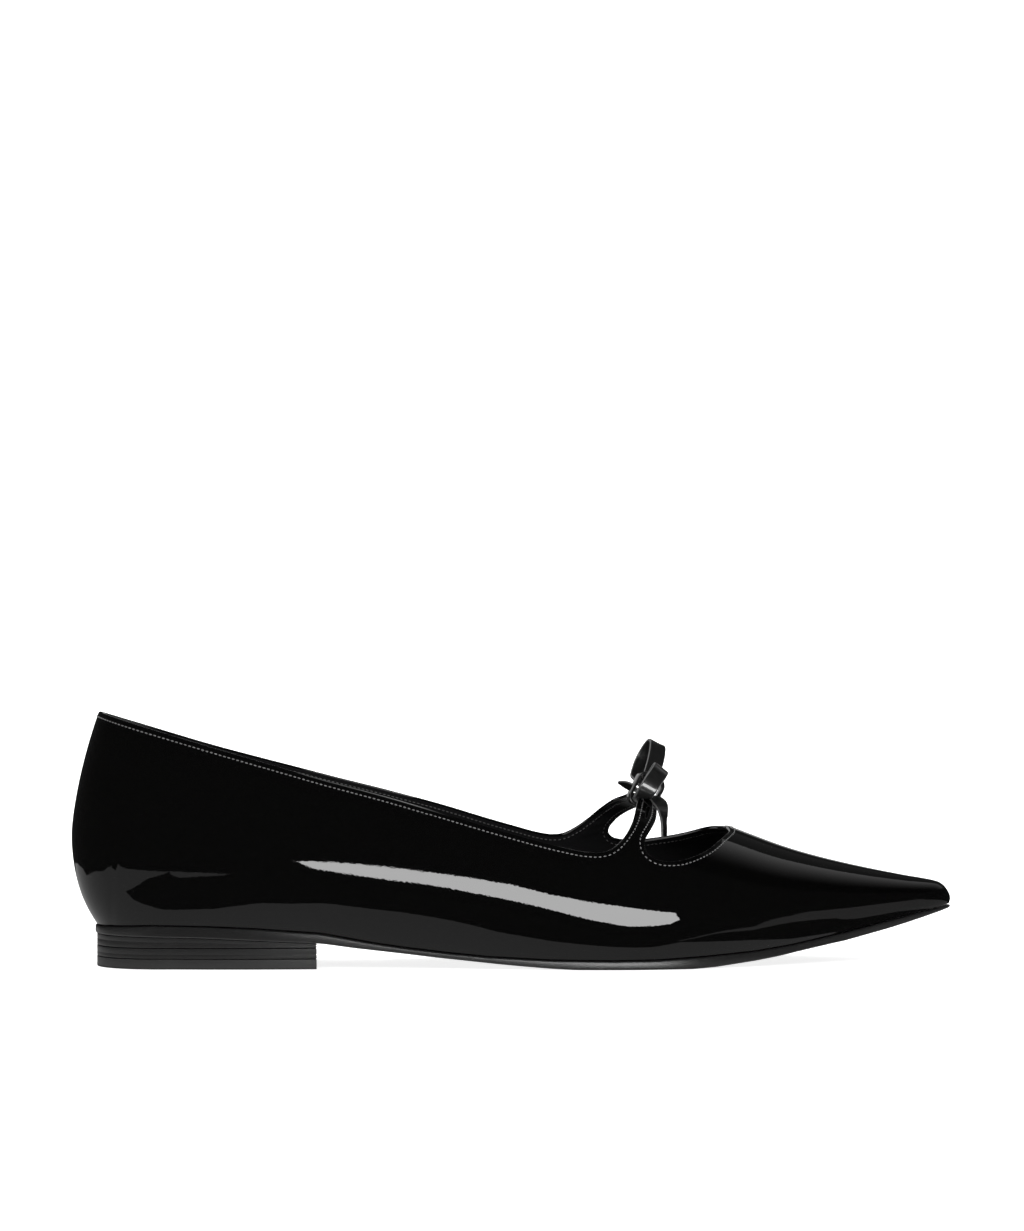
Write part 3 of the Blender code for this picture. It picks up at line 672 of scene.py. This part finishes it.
collar_rim = max(rims, key=len)
TURN_IN = 1.0 if along_rim(collar_rim)[2][:, 2].sum() > 0 else -1.0


def upper_skin():
    """Outside, folded edges and lining as one surface."""
    count = len(skin_points)
    points = [skin_points, skin_points - WALL * skin_normals]
    normal = [skin_normals, -skin_normals]
    faces = turned_out(skin_faces, skin_points, skin_normals)
    lining_faces = [[v + count for v in reversed(f)] for f in faces if skin_points[f[0], 0] < LINING_END]
    edge_faces = []
    total = 2 * count
    for line in rims:
        p, n, into, _, _ = along_rim(line)
        rings = [np.array(line)]
        for k in range(1, EDGE_STEPS):
            angle = math.pi * k / EDGE_STEPS
            across = TURN_IN * EDGE_BULGE * math.sin(angle) * into
            points.append(p - n * WALL / 2 + (n * math.cos(angle) + across) * WALL / 2)
            facing_out = n * math.cos(angle) * EDGE_BULGE + TURN_IN * into * math.sin(angle)
            normal.append(facing_out / np.linalg.norm(facing_out, axis=1, keepdims=True))
            rings.append(total + np.arange(len(line)))
            total += len(line)
        rings.append(np.array(line) + count)
        for k in range(EDGE_STEPS):
            for i in range(len(line)):
                j = (i + 1) % len(line)
                edge_faces.append([rings[k][i], rings[k][j], rings[k + 1][j], rings[k + 1][i]])
    points, normal = np.concatenate(points), np.concatenate(normal)
    edge_faces = turned_out(edge_faces, points, normal)
    piece = add_surface("upper_skin", points, faces + edge_faces + lining_faces, patent, normal)
    piece.data.materials.append(lining)
    first = len(faces) + len(edge_faces)
    for face in piece.data.polygons[first:]:
        face.material_index = 1
    return piece


skin = upper_skin()
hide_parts("upper")
print("upper faces", len(skin.data.polygons))

# %% [markdown]
# One row of short stitches follows every edge, and shows on the lining too. Each stitch is half sunk.

# %% Stitches
STITCH_SPACING = 1.35
STITCH_LENGTH = 0.88
STITCH_WIDTH = 0.38
STITCH_HEIGHT = 0.2
STITCH_INSET = 1.15
# Rings of a stitch: place along it and share of its thickness
STITCH_RINGS = ((-0.5, 0.1), (-0.4, 0.75), (-0.2, 1.0), (0.2, 1.0), (0.4, 0.75), (0.5, 0.1))
STITCH_SIDES = 6
STITCH_POINTS = len(STITCH_RINGS) * STITCH_SIDES
RIM_REACH = 0.5


def stitch(place_at, along, up):
    """The points of one stitch, a rod with rounded ends."""
    across = np.cross(up, along)
    points = []
    for end, share in STITCH_RINGS:
        for k in range(STITCH_SIDES):
            angle = math.tau * k / STITCH_SIDES
            side = across * math.cos(angle) * STITCH_WIDTH / 2 + up * math.sin(angle) * STITCH_HEIGHT
            points.append(place_at + along * end * STITCH_LENGTH + side * share)
    return points


def make_stitches():
    points = []
    for line in rims:
        p, n, into, place_on, total = along_rim(line)
        number = round(total / STITCH_SPACING)

        def at(values, s):
            return np.array([np.interp(s, place_on, values[:, i], period=total) for i in range(3)])

        for k in range(number):
            s = total * k / number
            here, up, way = at(p, s), at(n, s), at(into, s) * TURN_IN
            along = at(p, s + RIM_REACH) - at(p, s - RIM_REACH)
            along /= np.linalg.norm(along)
            up /= np.linalg.norm(up)
            sunk = here - way * STITCH_INSET
            points += stitch(sunk, along, up)
            points += stitch(sunk - up * WALL, along, -up)
    faces = []
    for start in range(0, len(points), STITCH_POINTS):
        for ring in range(len(STITCH_RINGS) - 1):
            first = start + ring * STITCH_SIDES
            for k in range(STITCH_SIDES):
                a, b = first + k, first + (k + 1) % STITCH_SIDES
                faces.append([a, b, b + STITCH_SIDES, a + STITCH_SIDES])
    piece = add_surface("upper_stitches", np.array(points), faces, thread_painted_glint)
    print("stitches", len(points) // STITCH_POINTS)


make_stitches()

# %% [markdown]
# The sole lies under the last's lower edge. Its outline is the last's, grown a little, and each layer of it
# is a slab with rounded edges. The heel's layers end at a straight breast.

# %% Soles and heel
GAP = 0.3
SOLE_OVERHANG = 0.3
BREAST_X = 72.6
HEEL_INSET = 0.5
TOP_PIECE_THICKNESS = 3.1
LOWER_LIFT_THICKNESS = 2.9
INSOLE_THICKNESS = 2.2
INSOLE_END_X = 260.0
SHARP_ANGLE = math.radians(50)
# A layer's flat face starts this many corner radii inside its edge
FACE_INSET = 4
CORNER_STEPS = 4
# Place over the groove's middle, and share of its depth
GROOVE_PROFILE = ((-0.22, 0.0), (-0.1, 1.0), (0.1, 1.0), (0.22, 0.0))


def sole_edge(grow, end_x=SOLE_TIP_X):
    """The sole's outline, grown outward, as pairs of points from heel to toe."""
    pairs = grid[grid[:, 0, 0, 0] <= SOLE_TIP_X][:, :, 0, :2]
    around_it = np.concatenate([pairs[::-1, 0], pairs[1:-1, 1]])
    along = np.roll(around_it, -1, axis=0) - np.roll(around_it, 1, axis=0)
    outward = np.stack([along[:, 1], -along[:, 0]], axis=1)
    outward /= np.linalg.norm(outward, axis=1, keepdims=True)
    if np.sum(outward * (around_it - LAST_MIDDLE[:2])) < 0:
        outward = -outward
    grown = around_it + outward * grow
    count = len(pairs)
    edge = []
    for i in range(count):
        near = grown[count - 1 - i]
        if pairs[i, 0, 0] <= end_x:
            edge.append((near, grown[count - 1 + i] if 0 < i < count - 1 else near))
    return edge


BREAST_CLEAR = 3.0


def heel_edge(grow, breast_x):
    """The outline behind the heel's breast, with the breast's corners."""
    edge = sole_edge(grow)
    count = sum(pair[0][0] < BREAST_X - BREAST_CLEAR for pair in sole_edge(0.0))
    kept_pairs, following = edge[:count], edge[count]
    last_pair = kept_pairs[-1]
    corners = []
    for side in (0, 1):
        share = (breast_x - last_pair[side][0]) / (following[side][0] - last_pair[side][0])
        corners.append(last_pair[side] + (following[side] - last_pair[side]) * share)
    return kept_pairs + [tuple(corners)]


def slab(name, edge_at, profile, material):
    """A layer of the sole. The profile gives each ring's inset, and its height over x."""
    rings = []
    for inset, height in profile:
        edge = edge_at(-inset)
        ring = [(*near, height(near[0])) for near, _ in edge]
        ring += [(*far, height(far[0])) for near, far in reversed(edge) if np.abs(near - far).max() > 1e-6]
        rings.append(ring)
    size, half = len(rings[0]), len(edge)
    points = np.array([point for ring in rings for point in ring])
    faces = []
    for k in range(len(rings) - 1):
        for i in range(size):
            j = (i + 1) % size
            faces.append([k * size + i, k * size + j, (k + 1) * size + j, (k + 1) * size + i])
    for k in (0, len(rings) - 1):
        for i in range(half - 1):
            corners = (i, i + 1, size - i - 1, (size - i) % size)
            face = [k * size + corner for corner in dict.fromkeys(corners)]
            faces.append(face if k == 0 else face[::-1])
    mesh = bpy.data.meshes.new(name)
    mesh.from_pydata(place(points).tolist(), [], faces)
    shape = bmesh.new()
    shape.from_mesh(mesh)
    bmesh.ops.remove_doubles(shape, verts=shape.verts, dist=1e-7)
    bmesh.ops.recalc_face_normals(shape, faces=shape.faces)
    shape.to_mesh(mesh)
    shape.free()
    mesh.materials.append(material)
    mesh.shade_smooth()
    mesh.set_sharp_from_angle(angle=SHARP_ANGLE)
    piece = add_object(name, mesh)
    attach(piece, "root")
    return piece


def rounded_profile(low, high, radius, grooves=()):
    """Rings of a slab's edge, from below, with round corners and fine grooves at shares of it."""
    corner = []
    for k in range(CORNER_STEPS + 1):
        angle = math.pi / 2 * k / CORNER_STEPS
        corner.append((radius * (1 - math.sin(angle)), radius * (1 - math.cos(angle))))
    rings = [(FACE_INSET * radius, low)]
    for inset, rise in corner:
        rings.append((inset, lambda x, rise=rise: low(x) + rise))
    for share, depth in grooves:
        for offset, part in GROOVE_PROFILE:
            rings.append((part * depth, lambda x, s=share, o=offset: low(x) + (high(x) - low(x)) * s + o))
    for inset, drop in reversed(corner):
        rings.append((inset, lambda x, drop=drop: high(x) - drop))
    return rings + [(FACE_INSET * radius, high)]


SOLE_CORNER = 0.5
SOLE_CLEARANCE = 0.4
outsole = slab(
    "outsole_leather",
    lambda grow: sole_edge(SOLE_OVERHANG + grow),
    rounded_profile(tread_height, lambda x: feather_height(x) - SOLE_CLEARANCE, SOLE_CORNER),
    sole_edge_black,
)
# The upper corner of the sole's edge, known by how far it faces up, is rougher, and painted paler as a
# highlight
RIM_FACES_UP = (0.25, 0.9)
outsole.data.materials.append(sole_rim_painted_highlight)
for face in outsole.data.polygons:
    face.material_index = int(RIM_FACES_UP[0] < face.normal.z < RIM_FACES_UP[1])
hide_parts("outsole")

lower_top = TOP_PIECE_THICKNESS + GAP + LOWER_LIFT_THICKNESS
# Half of the fine gap that shows between two layers
SEAM = 0.1
LAYER_CORNER = 0.15
HEEL_LAYERS = (
    ("heel_lift_upper", lambda x: lower_top + SEAM, lambda x: tread_height(x) - SEAM, "heel_stack"),
    ("heel_lift_lower", lambda x: TOP_PIECE_THICKNESS + SEAM, lambda x: lower_top - SEAM, "heel_stack"),
    ("heel_top_piece", lambda x: 0.0, lambda x: TOP_PIECE_THICKNESS - SEAM, "heel_rubber"),
)
# Share of the layer's height and depth of each fine line round it
LAYER_GROOVES = {
    "heel_lift_upper": ((0.55, 0.05),),
    "heel_lift_lower": ((0.40, 0.03),),
    "heel_top_piece": (),
}
# How many times as fast as the sides the breast draws in
BREAST_ROUNDING = 4.0
for name, low, high, slot in HEEL_LAYERS:
    layer = slab(
        name + "_edge",
        lambda grow: heel_edge(SOLE_OVERHANG - HEEL_INSET + grow, BREAST_X + BREAST_ROUNDING * grow),
        rounded_profile(low, high, LAYER_CORNER, LAYER_GROOVES[name]),
        rubber_black if slot == "heel_rubber" else stack_black,
    )
    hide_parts(name)

insole = slab(
    "insole_sock",
    lambda grow: sole_edge(-WALL - GAP + grow, INSOLE_END_X),
    rounded_profile(feather_height, lambda x: feather_height(x) + INSOLE_THICKNESS, SOLE_CORNER),
    sock_leather,
)
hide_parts("insole")
print("sole faces", len(outsole.data.polygons), "insole faces", len(insole.data.polygons))

# %% [markdown]
# The bow is one narrow ribbon folded into two loops and two tails, with a short wrap round its middle and
# round the straps. Its paths stand on a frame that is tilted with the instep.

# %% Bow
RIBBON_WIDTH = 5.3
RIBBON_THICKNESS = 1.0
TAIL_WIDTH = 4.4
TAIL_THICKNESS = 0.8
WRAP_WIDTH = 5.0
KNOT_WALL = 1.2
BOW_TILT = math.radians(27)
BOW_X = 173.3
# Middle line of the bow's loops, seen from the toe: sideways, above the straps, toward the heel; then how
# far the ribbon's edge on the toe side rises over its width
LOOP_OUTER = (
    (-3.2, 2.3, 0.0, 0.0), (-5.5, 2.9, 0.3, 0.0), (-8.5, 2.2, 0.9, 0.15), (-11.5, 0.7, 1.5, 0.35),
    (-14.3, -0.7, 2.0, 0.50), (-16.8, -0.6, 2.1, 0.45), (-18.4, 1.6, 2.1, 0.20), (-18.9, 4.6, 1.9, 0.0),
    (-17.9, 7.6, 1.3, -0.15), (-15.4, 9.2, 0.9, -0.20), (-11.6, 9.2, 0.7, -0.15), (-7.0, 7.4, 0.3, -0.05),
    (-3.2, 5.0, 0.0, 0.0),
)
LOOP_INNER = (
    (3.2, 5.0, 0.0, 0.0), (4.6, 7.6, 0.2, 0.0), (6.0, 10.6, 0.6, 0.0), (7.4, 13.6, 1.2, 0.0),
    (9.2, 15.9, 2.0, 0.0), (11.4, 15.8, 2.7, 0.0), (13.2, 13.2, 3.0, 0.0), (14.2, 9.6, 3.0, 0.0),
    (13.6, 6.2, 2.7, 0.0), (11.6, 4.1, 2.4, 0.0), (8.8, 3.4, 1.6, 0.0), (6.0, 2.9, 0.7, 0.0),
    (3.2, 2.3, 0.0, 0.0),
)
LOOP_TOP_IN_KNOT = 4.7
LOOP_BOTTOM_IN_KNOT = 2.3
# Middle line of the tails: toward the toe, sideways, above the straps; the direction of the ribbon's width,
# toward the toe, sideways and up; the share of the width that is left
TAILS = (
    (8.9, -17.0, -8.4, 0.38, 0.90, 0.20, 0.90), (8.1, -17.2, -6.9, 0.36, 0.90, 0.25, 1.0),
    (7.1, -17.6, -5.2, 0.30, 0.88, 0.36, 1.0), (5.8, -17.6, -3.0, 0.28, 0.78, 0.56, 1.0),
    (4.2, -16.2, -0.7, 0.40, 0.68, 0.62, 1.0), (2.7, -12.8, 0.5, 0.60, 0.62, 0.50, 1.0),
    (1.3, -9.2, 0.8, 0.82, 0.50, 0.28, 1.0), (0.4, -5.2, 0.85, 1.0, 0.15, 0.0, 1.0),
    (0.0, -1.5, 0.85, 1.0, 0.0, 0.0, 1.0), (0.0, 1.5, 0.85, 1.0, 0.0, 0.0, 1.0),
    (-0.6, 3.6, 0.9, 0.95, 0.20, 0.0, 1.0), (-2.2, 5.2, 0.8, 0.75, 0.50, -0.12, 1.0),
    (-4.2, 6.2, 0.7, 0.55, 0.66, -0.45, 0.95), (-6.2, 7.2, 0.5, 0.51, 0.66, -0.55, 0.60),
    (-7.8, 8.0, 0.3, 0.51, 0.66, -0.55, 0.12),
)
KNOT_HALF_WIDTH = 3.4 + KNOT_WALL / 2
KNOT_BOTTOM = -2.85 - KNOT_WALL / 2
KNOT_TOP = 5.9 + KNOT_WALL / 2
KNOT_CORNER = 2.4
KNOT_CORNER_STEPS = 12
RIBBON_EDGE_STEPS = 6
PATH_STEPS = 8


def bow_place(points):
    """Points of the tilted frame (toward the toe, sideways, above) as points on the last."""
    points = np.asarray(points, float)
    toe, side, above = points.T
    x = BOW_X + toe * math.cos(BOW_TILT) + above * math.sin(BOW_TILT)
    z = crown_height(BOW_X) + above * math.cos(BOW_TILT) - toe * math.sin(BOW_TILT)
    return np.stack([x, side, z], axis=1)


def ribbon_section(width, thickness):
    """Points all round a ribbon with rounded edges: across it, through it, and the direction faced."""
    flat = (width - thickness) / 2
    section_points = []
    for side in (1, -1):
        for k in range(RIBBON_EDGE_STEPS + 1):
            angle = math.pi * k / RIBBON_EDGE_STEPS - math.pi / 2
            out_across, out_through = side * math.cos(angle), side * math.sin(angle)
            across = side * flat + out_across * thickness / 2
            section_points.append((across, out_through * thickness / 2, out_across, out_through))
    return section_points


def add_ribbon(name, path, widths, width, thickness, closed, shares=None, edge=ribbon_edge_painted_highlight):
    """A ribbon with rounded edges along a path in the bow's frame."""
    path, widths = np.array(path, float), np.array(widths, float)
    shares = np.ones(len(path)) if shares is None else shares
    count = len(path)
    if closed:
        along = np.roll(path, -1, axis=0) - np.roll(path, 1, axis=0)
    else:
        along = np.gradient(path, axis=0)
    along /= np.linalg.norm(along, axis=1, keepdims=True)
    widths = widths - along * np.sum(widths * along, axis=1, keepdims=True)
    widths /= np.linalg.norm(widths, axis=1, keepdims=True)
    thick = np.cross(along, widths)
    shape = ribbon_section(width, thickness)
    points, normal = [], []
    for i in range(count):
        for across, through, out_across, out_through in shape:
            points.append(path[i] + widths[i] * across * shares[i] + thick[i] * through)
            normal.append(widths[i] * out_across + thick[i] * out_through)
    size = len(shape)
    faces = []
    for i in range(count if closed else count - 1):
        j = (i + 1) % count
        for k in range(size):
            m = (k + 1) % size
            faces.append([i * size + k, i * size + m, j * size + m, j * size + k])
    normal = np.array(normal)
    world_normal = bow_place(normal) - bow_place(np.zeros((1, 3)))
    placed = bow_place(points)
    faces = turned_out(faces, placed, world_normal)
    if not closed:
        faces += [list(range(size))[::-1], [(count - 1) * size + k for k in range(size)]]
    piece = add_surface(name, placed, faces, ribbon_black, world_normal)
    piece.data.materials.append(edge)
    # The faces round the ribbon's two edges are painted paler, as a highlight along them
    half = len(shape) // 2
    for i, face in enumerate(piece.data.polygons):
        face.material_index = int(0 < i % half < half - 2)
    return piece


def knot_path():
    """The wrap's middle line, a rounded box."""
    path = []
    left, right = -KNOT_HALF_WIDTH + KNOT_CORNER, KNOT_HALF_WIDTH - KNOT_CORNER
    low, high = KNOT_BOTTOM + KNOT_CORNER, KNOT_TOP - KNOT_CORNER
    for toe, above, start in ((right, high, 0), (left, high, 90), (left, low, 180), (right, low, 270)):
        for step in range(KNOT_CORNER_STEPS + 1):
            angle = math.radians(start + 90 * step / KNOT_CORNER_STEPS)
            path.append((toe + KNOT_CORNER * math.cos(angle), 0.0, above + KNOT_CORNER * math.sin(angle)))
    return path


over_knot = (LOOP_OUTER[-1], (0.0, LOOP_TOP_IN_KNOT, 0.0, 0.0), LOOP_INNER[0])
under_knot = (LOOP_INNER[-1], (0.0, LOOP_BOTTOM_IN_KNOT, 0.0, 0.0), LOOP_OUTER[0])
loop_lines = (LOOP_OUTER, over_knot, LOOP_INNER, under_knot)
loops = [row for line in loop_lines for row in rounded(line, PATH_STEPS)[:-1]]
bow_loops = add_ribbon(
    "bow_ribbon_loops",
    [(-back, sideways, above) for sideways, above, back, _ in loops],
    [(1.0, 0.0, rise) for _, _, _, rise in loops],
    RIBBON_WIDTH,
    RIBBON_THICKNESS,
    True,
)
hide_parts("bow_loops")
tails = np.array(rounded(TAILS, PATH_STEPS))
bow_tails = add_ribbon(
    "bow_ribbon_tails", tails[:, :3], tails[:, 3:6], TAIL_WIDTH, TAIL_THICKNESS, False, tails[:, 6]
)
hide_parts("bow_tails")
wrap = knot_path()
bow_knot = add_ribbon(
    "bow_ribbon_wrap", wrap, [(0, 1, 0)] * len(wrap), WRAP_WIDTH, KNOT_WALL, True, None, ribbon_black
)
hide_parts("bow_knot")
print("loops", len(bow_loops.data.polygons), "tails", len(bow_tails.data.polygons))

# %% [markdown]
# The floor sweeps up behind the shoe into a wall. It is pale paper that glows a little itself, so the
# shadow stays faint. What the leather mirrors is set apart from that, as a studio does with black flags and
# white cards: the room is almost dark, a long card in front gives the streak on the side, two papers on the
# floor give the grey above the sole and the band at the toe, and a soft card over the toe gives the sheen
# on the vamp. Three more are over the toe, behind the shoe and at the bow. The camera sees none of them.

# %% Floor and light
SWEEP_START = 1.2
SWEEP_RADIUS = 1.5
SWEEP_STEPS = 16
WALL_HEIGHT = 4.0
FLOOR_FRONT = -4.0
FLOOR_HALF_WIDTH = 5.0
PAPER_COLOUR = (0.88, 0.88, 0.88)
PAPER_ROUGHNESS = 0.9
PAPER_GLOW = 0.8
LAMP_POWER = 40
ROOM_GLOW = 0.02


def make_sweep():
    profile = [(FLOOR_FRONT, 0.0), (SWEEP_START, 0.0)]
    for k in range(1, SWEEP_STEPS + 1):
        angle = math.pi / 2 * k / SWEEP_STEPS
        profile.append((SWEEP_START + SWEEP_RADIUS * math.sin(angle), SWEEP_RADIUS * (1 - math.cos(angle))))
    profile.append((SWEEP_START + SWEEP_RADIUS, WALL_HEIGHT))
    points = [(x, y, z) for y, z in profile for x in (-FLOOR_HALF_WIDTH, FLOOR_HALF_WIDTH)]
    faces = [(2 * k, 2 * k + 1, 2 * k + 3, 2 * k + 2) for k in range(len(profile) - 1)]
    mesh = bpy.data.meshes.new("floor")
    mesh.from_pydata(points, [], faces)
    mesh.shade_smooth()
    floor = add_object("floor", mesh)
    paper = new_material("paper", PAPER_COLOUR, PAPER_ROUGHNESS)
    shader = paper.node_tree.nodes["Principled BSDF"]
    shader.inputs["Emission Color"].default_value = (1, 1, 1, 1)
    shader.inputs["Emission Strength"].default_value = PAPER_GLOW
    mesh.materials.append(paper)
    floor.visible_glossy = False


def add_lamp(name, place_at, aim, size_x, size_y):
    data = bpy.data.lights.new(name, "AREA")
    data.shape = "RECTANGLE"
    data.size, data.size_y = size_x, size_y
    data.energy = LAMP_POWER
    lamp = add_object(name, data)
    lamp.location = place_at
    lamp.rotation_euler = (Vector(aim) - Vector(place_at)).to_track_quat("-Z", "Y").to_euler()
    lamp.visible_glossy = False


def add_card(name, corners, strength, fade=None):
    """A glowing card that only glossy surfaces see; fade gives an axis, and where it is dark and full."""
    mesh = bpy.data.meshes.new(name)
    mesh.from_pydata(corners, [], [list(range(len(corners)))])
    glow = bpy.data.materials.new(name)
    glow.use_nodes = True
    tree = glow.node_tree
    tree.nodes.clear()
    emission = tree.nodes.new("ShaderNodeEmission")
    output = tree.nodes.new("ShaderNodeOutputMaterial")
    emission.inputs["Strength"].default_value = strength
    tree.links.new(emission.outputs["Emission"], output.inputs["Surface"])
    if fade:
        where = tree.nodes.new("ShaderNodeTexCoord")
        split = tree.nodes.new("ShaderNodeSeparateXYZ")
        ramp = tree.nodes.new("ShaderNodeMapRange")
        ramp.interpolation_type = "SMOOTHSTEP"
        axis, dark, full = fade
        ramp.inputs["From Min"].default_value, ramp.inputs["From Max"].default_value = dark, full
        ramp.inputs["To Max"].default_value = strength
        tree.links.new(where.outputs["Object"], split.inputs["Vector"])
        tree.links.new(split.outputs[axis], ramp.inputs["Value"])
        tree.links.new(ramp.outputs["Result"], emission.inputs["Strength"])
    mesh.materials.append(glow)
    card = add_object(name, mesh)
    card.visible_camera = card.visible_diffuse = card.visible_shadow = False
    card.visible_transmission = card.visible_volume_scatter = False


def level(outline, height):
    """Corners of a card that lies flat, from millimetres along the shoe and across it."""
    return [(x * MM, y * MM, height * MM) for x, y in outline]


make_sweep()
add_lamp("overhead", (0.0, 0.6, 2.4), (0.0, 0.3, 0.0), 3.0, 1.6)
add_lamp("front", (0.0, -2.2, 1.8), (0.0, -0.3, 0.0), 3.4, 1.2)
add_lamp("backdrop_light", (0.0, 0.9, 2.2), (0.0, 2.7, 1.0), 3.0, 0.6)

# The outlines of the streak, floor and toe cards come from lines of sight reflected at the shoe's side,
# worked out beforehand and in part shifted, in millimetres. The streak's card stands upright
STREAK_DISTANCE = -120.0
STREAK_CARD = (
    (-69, 25.5), (-51, 27.5), (-36, 28), (-22, 27), (-6, 22), (14, 18), (41, 14), (84, 8), (91, -4),
    (79, -10), (68, -12), (40, -14), (12, -6), (-8, 4), (-24, 10), (-38, 13.5), (-46, 16.5), (-63, 20),
)
FLOOR_CARD = (
    (146, 19), (139, 7), (129, -2), (115, -10), (101, -17), (89, -25), (79, -34), (66, -40), (52, -45),
    (39, -43), (5, -44), (-13, -46), (-30, -53), (-42, -56), (-60, -55), (-70, -51), (-81, -49), (-88, -44),
    (-97, -38), (-108, -35), (-121, -38), (-134, -40), (-148, -46), (-143, -60), (-136, -95), (-113, -126),
    (-108, -142), (-133, -139), (-166, -130), (-188, -119), (-209, -107), (-246, -106), (-229, -79),
    (-223, -45), (-232, -3), (-220, 43), (-246, 83), (-254, 177), (-230, 260), (146, 260),
)
TOE_CARD = (
    (52, -46.2), (75, -49), (93, -46), (114, -49), (120, -43), (123, -27), (137, -18), (146, 19), (174, 20),
    (340, -120), (900, -400), (900, -597), (299, -177), (215, -130), (149, -79), (100, -52), (77, -51),
    (52, -47),
)
VAMP_CARD = ((165, -120), (400, -120), (400, 110), (165, 122))
VAMP_FADE = ("Y", -0.05, 0.115)
# Name, corners in metres and strength of each card, and for one its fade
CARDS = (
    ("streak_card", [(x * MM, STREAK_DISTANCE * MM, z * MM) for x, z in STREAK_CARD], 10.4),
    ("floor_card", level(FLOOR_CARD, 0.5), 0.42),
    ("toe_card", level(TOE_CARD, 0.4), 0.36),
    ("vamp_card", level(VAMP_CARD, 200.0), 0.5, VAMP_FADE),
    ("crown_card", level(((200, 120), (900, 120), (900, 900), (200, 900)), 450.0), 0.05),
    ("rear_card", [(-0.1, 1.0, 0.0), (0.5, 1.0, 0.0), (0.5, 1.0, 0.25), (-0.1, 1.0, 0.25)], 0.45),
    ("bow_card", [(-0.02, y, z) for y, z in ((-0.08, 0.07), (0.08, 0.07), (0.08, 0.2), (-0.08, 0.2))], 1.5),
)
for card in CARDS:
    add_card(*card)
world = bpy.data.worlds.new("world")
bpy.context.scene.world = world
world.use_nodes = True
background = world.node_tree.nodes["Background"]
background.inputs["Color"].default_value = (1, 1, 1, 1)
background.inputs["Strength"].default_value = ROOM_GLOW
bpy.context.scene.view_settings.view_transform = "Standard"
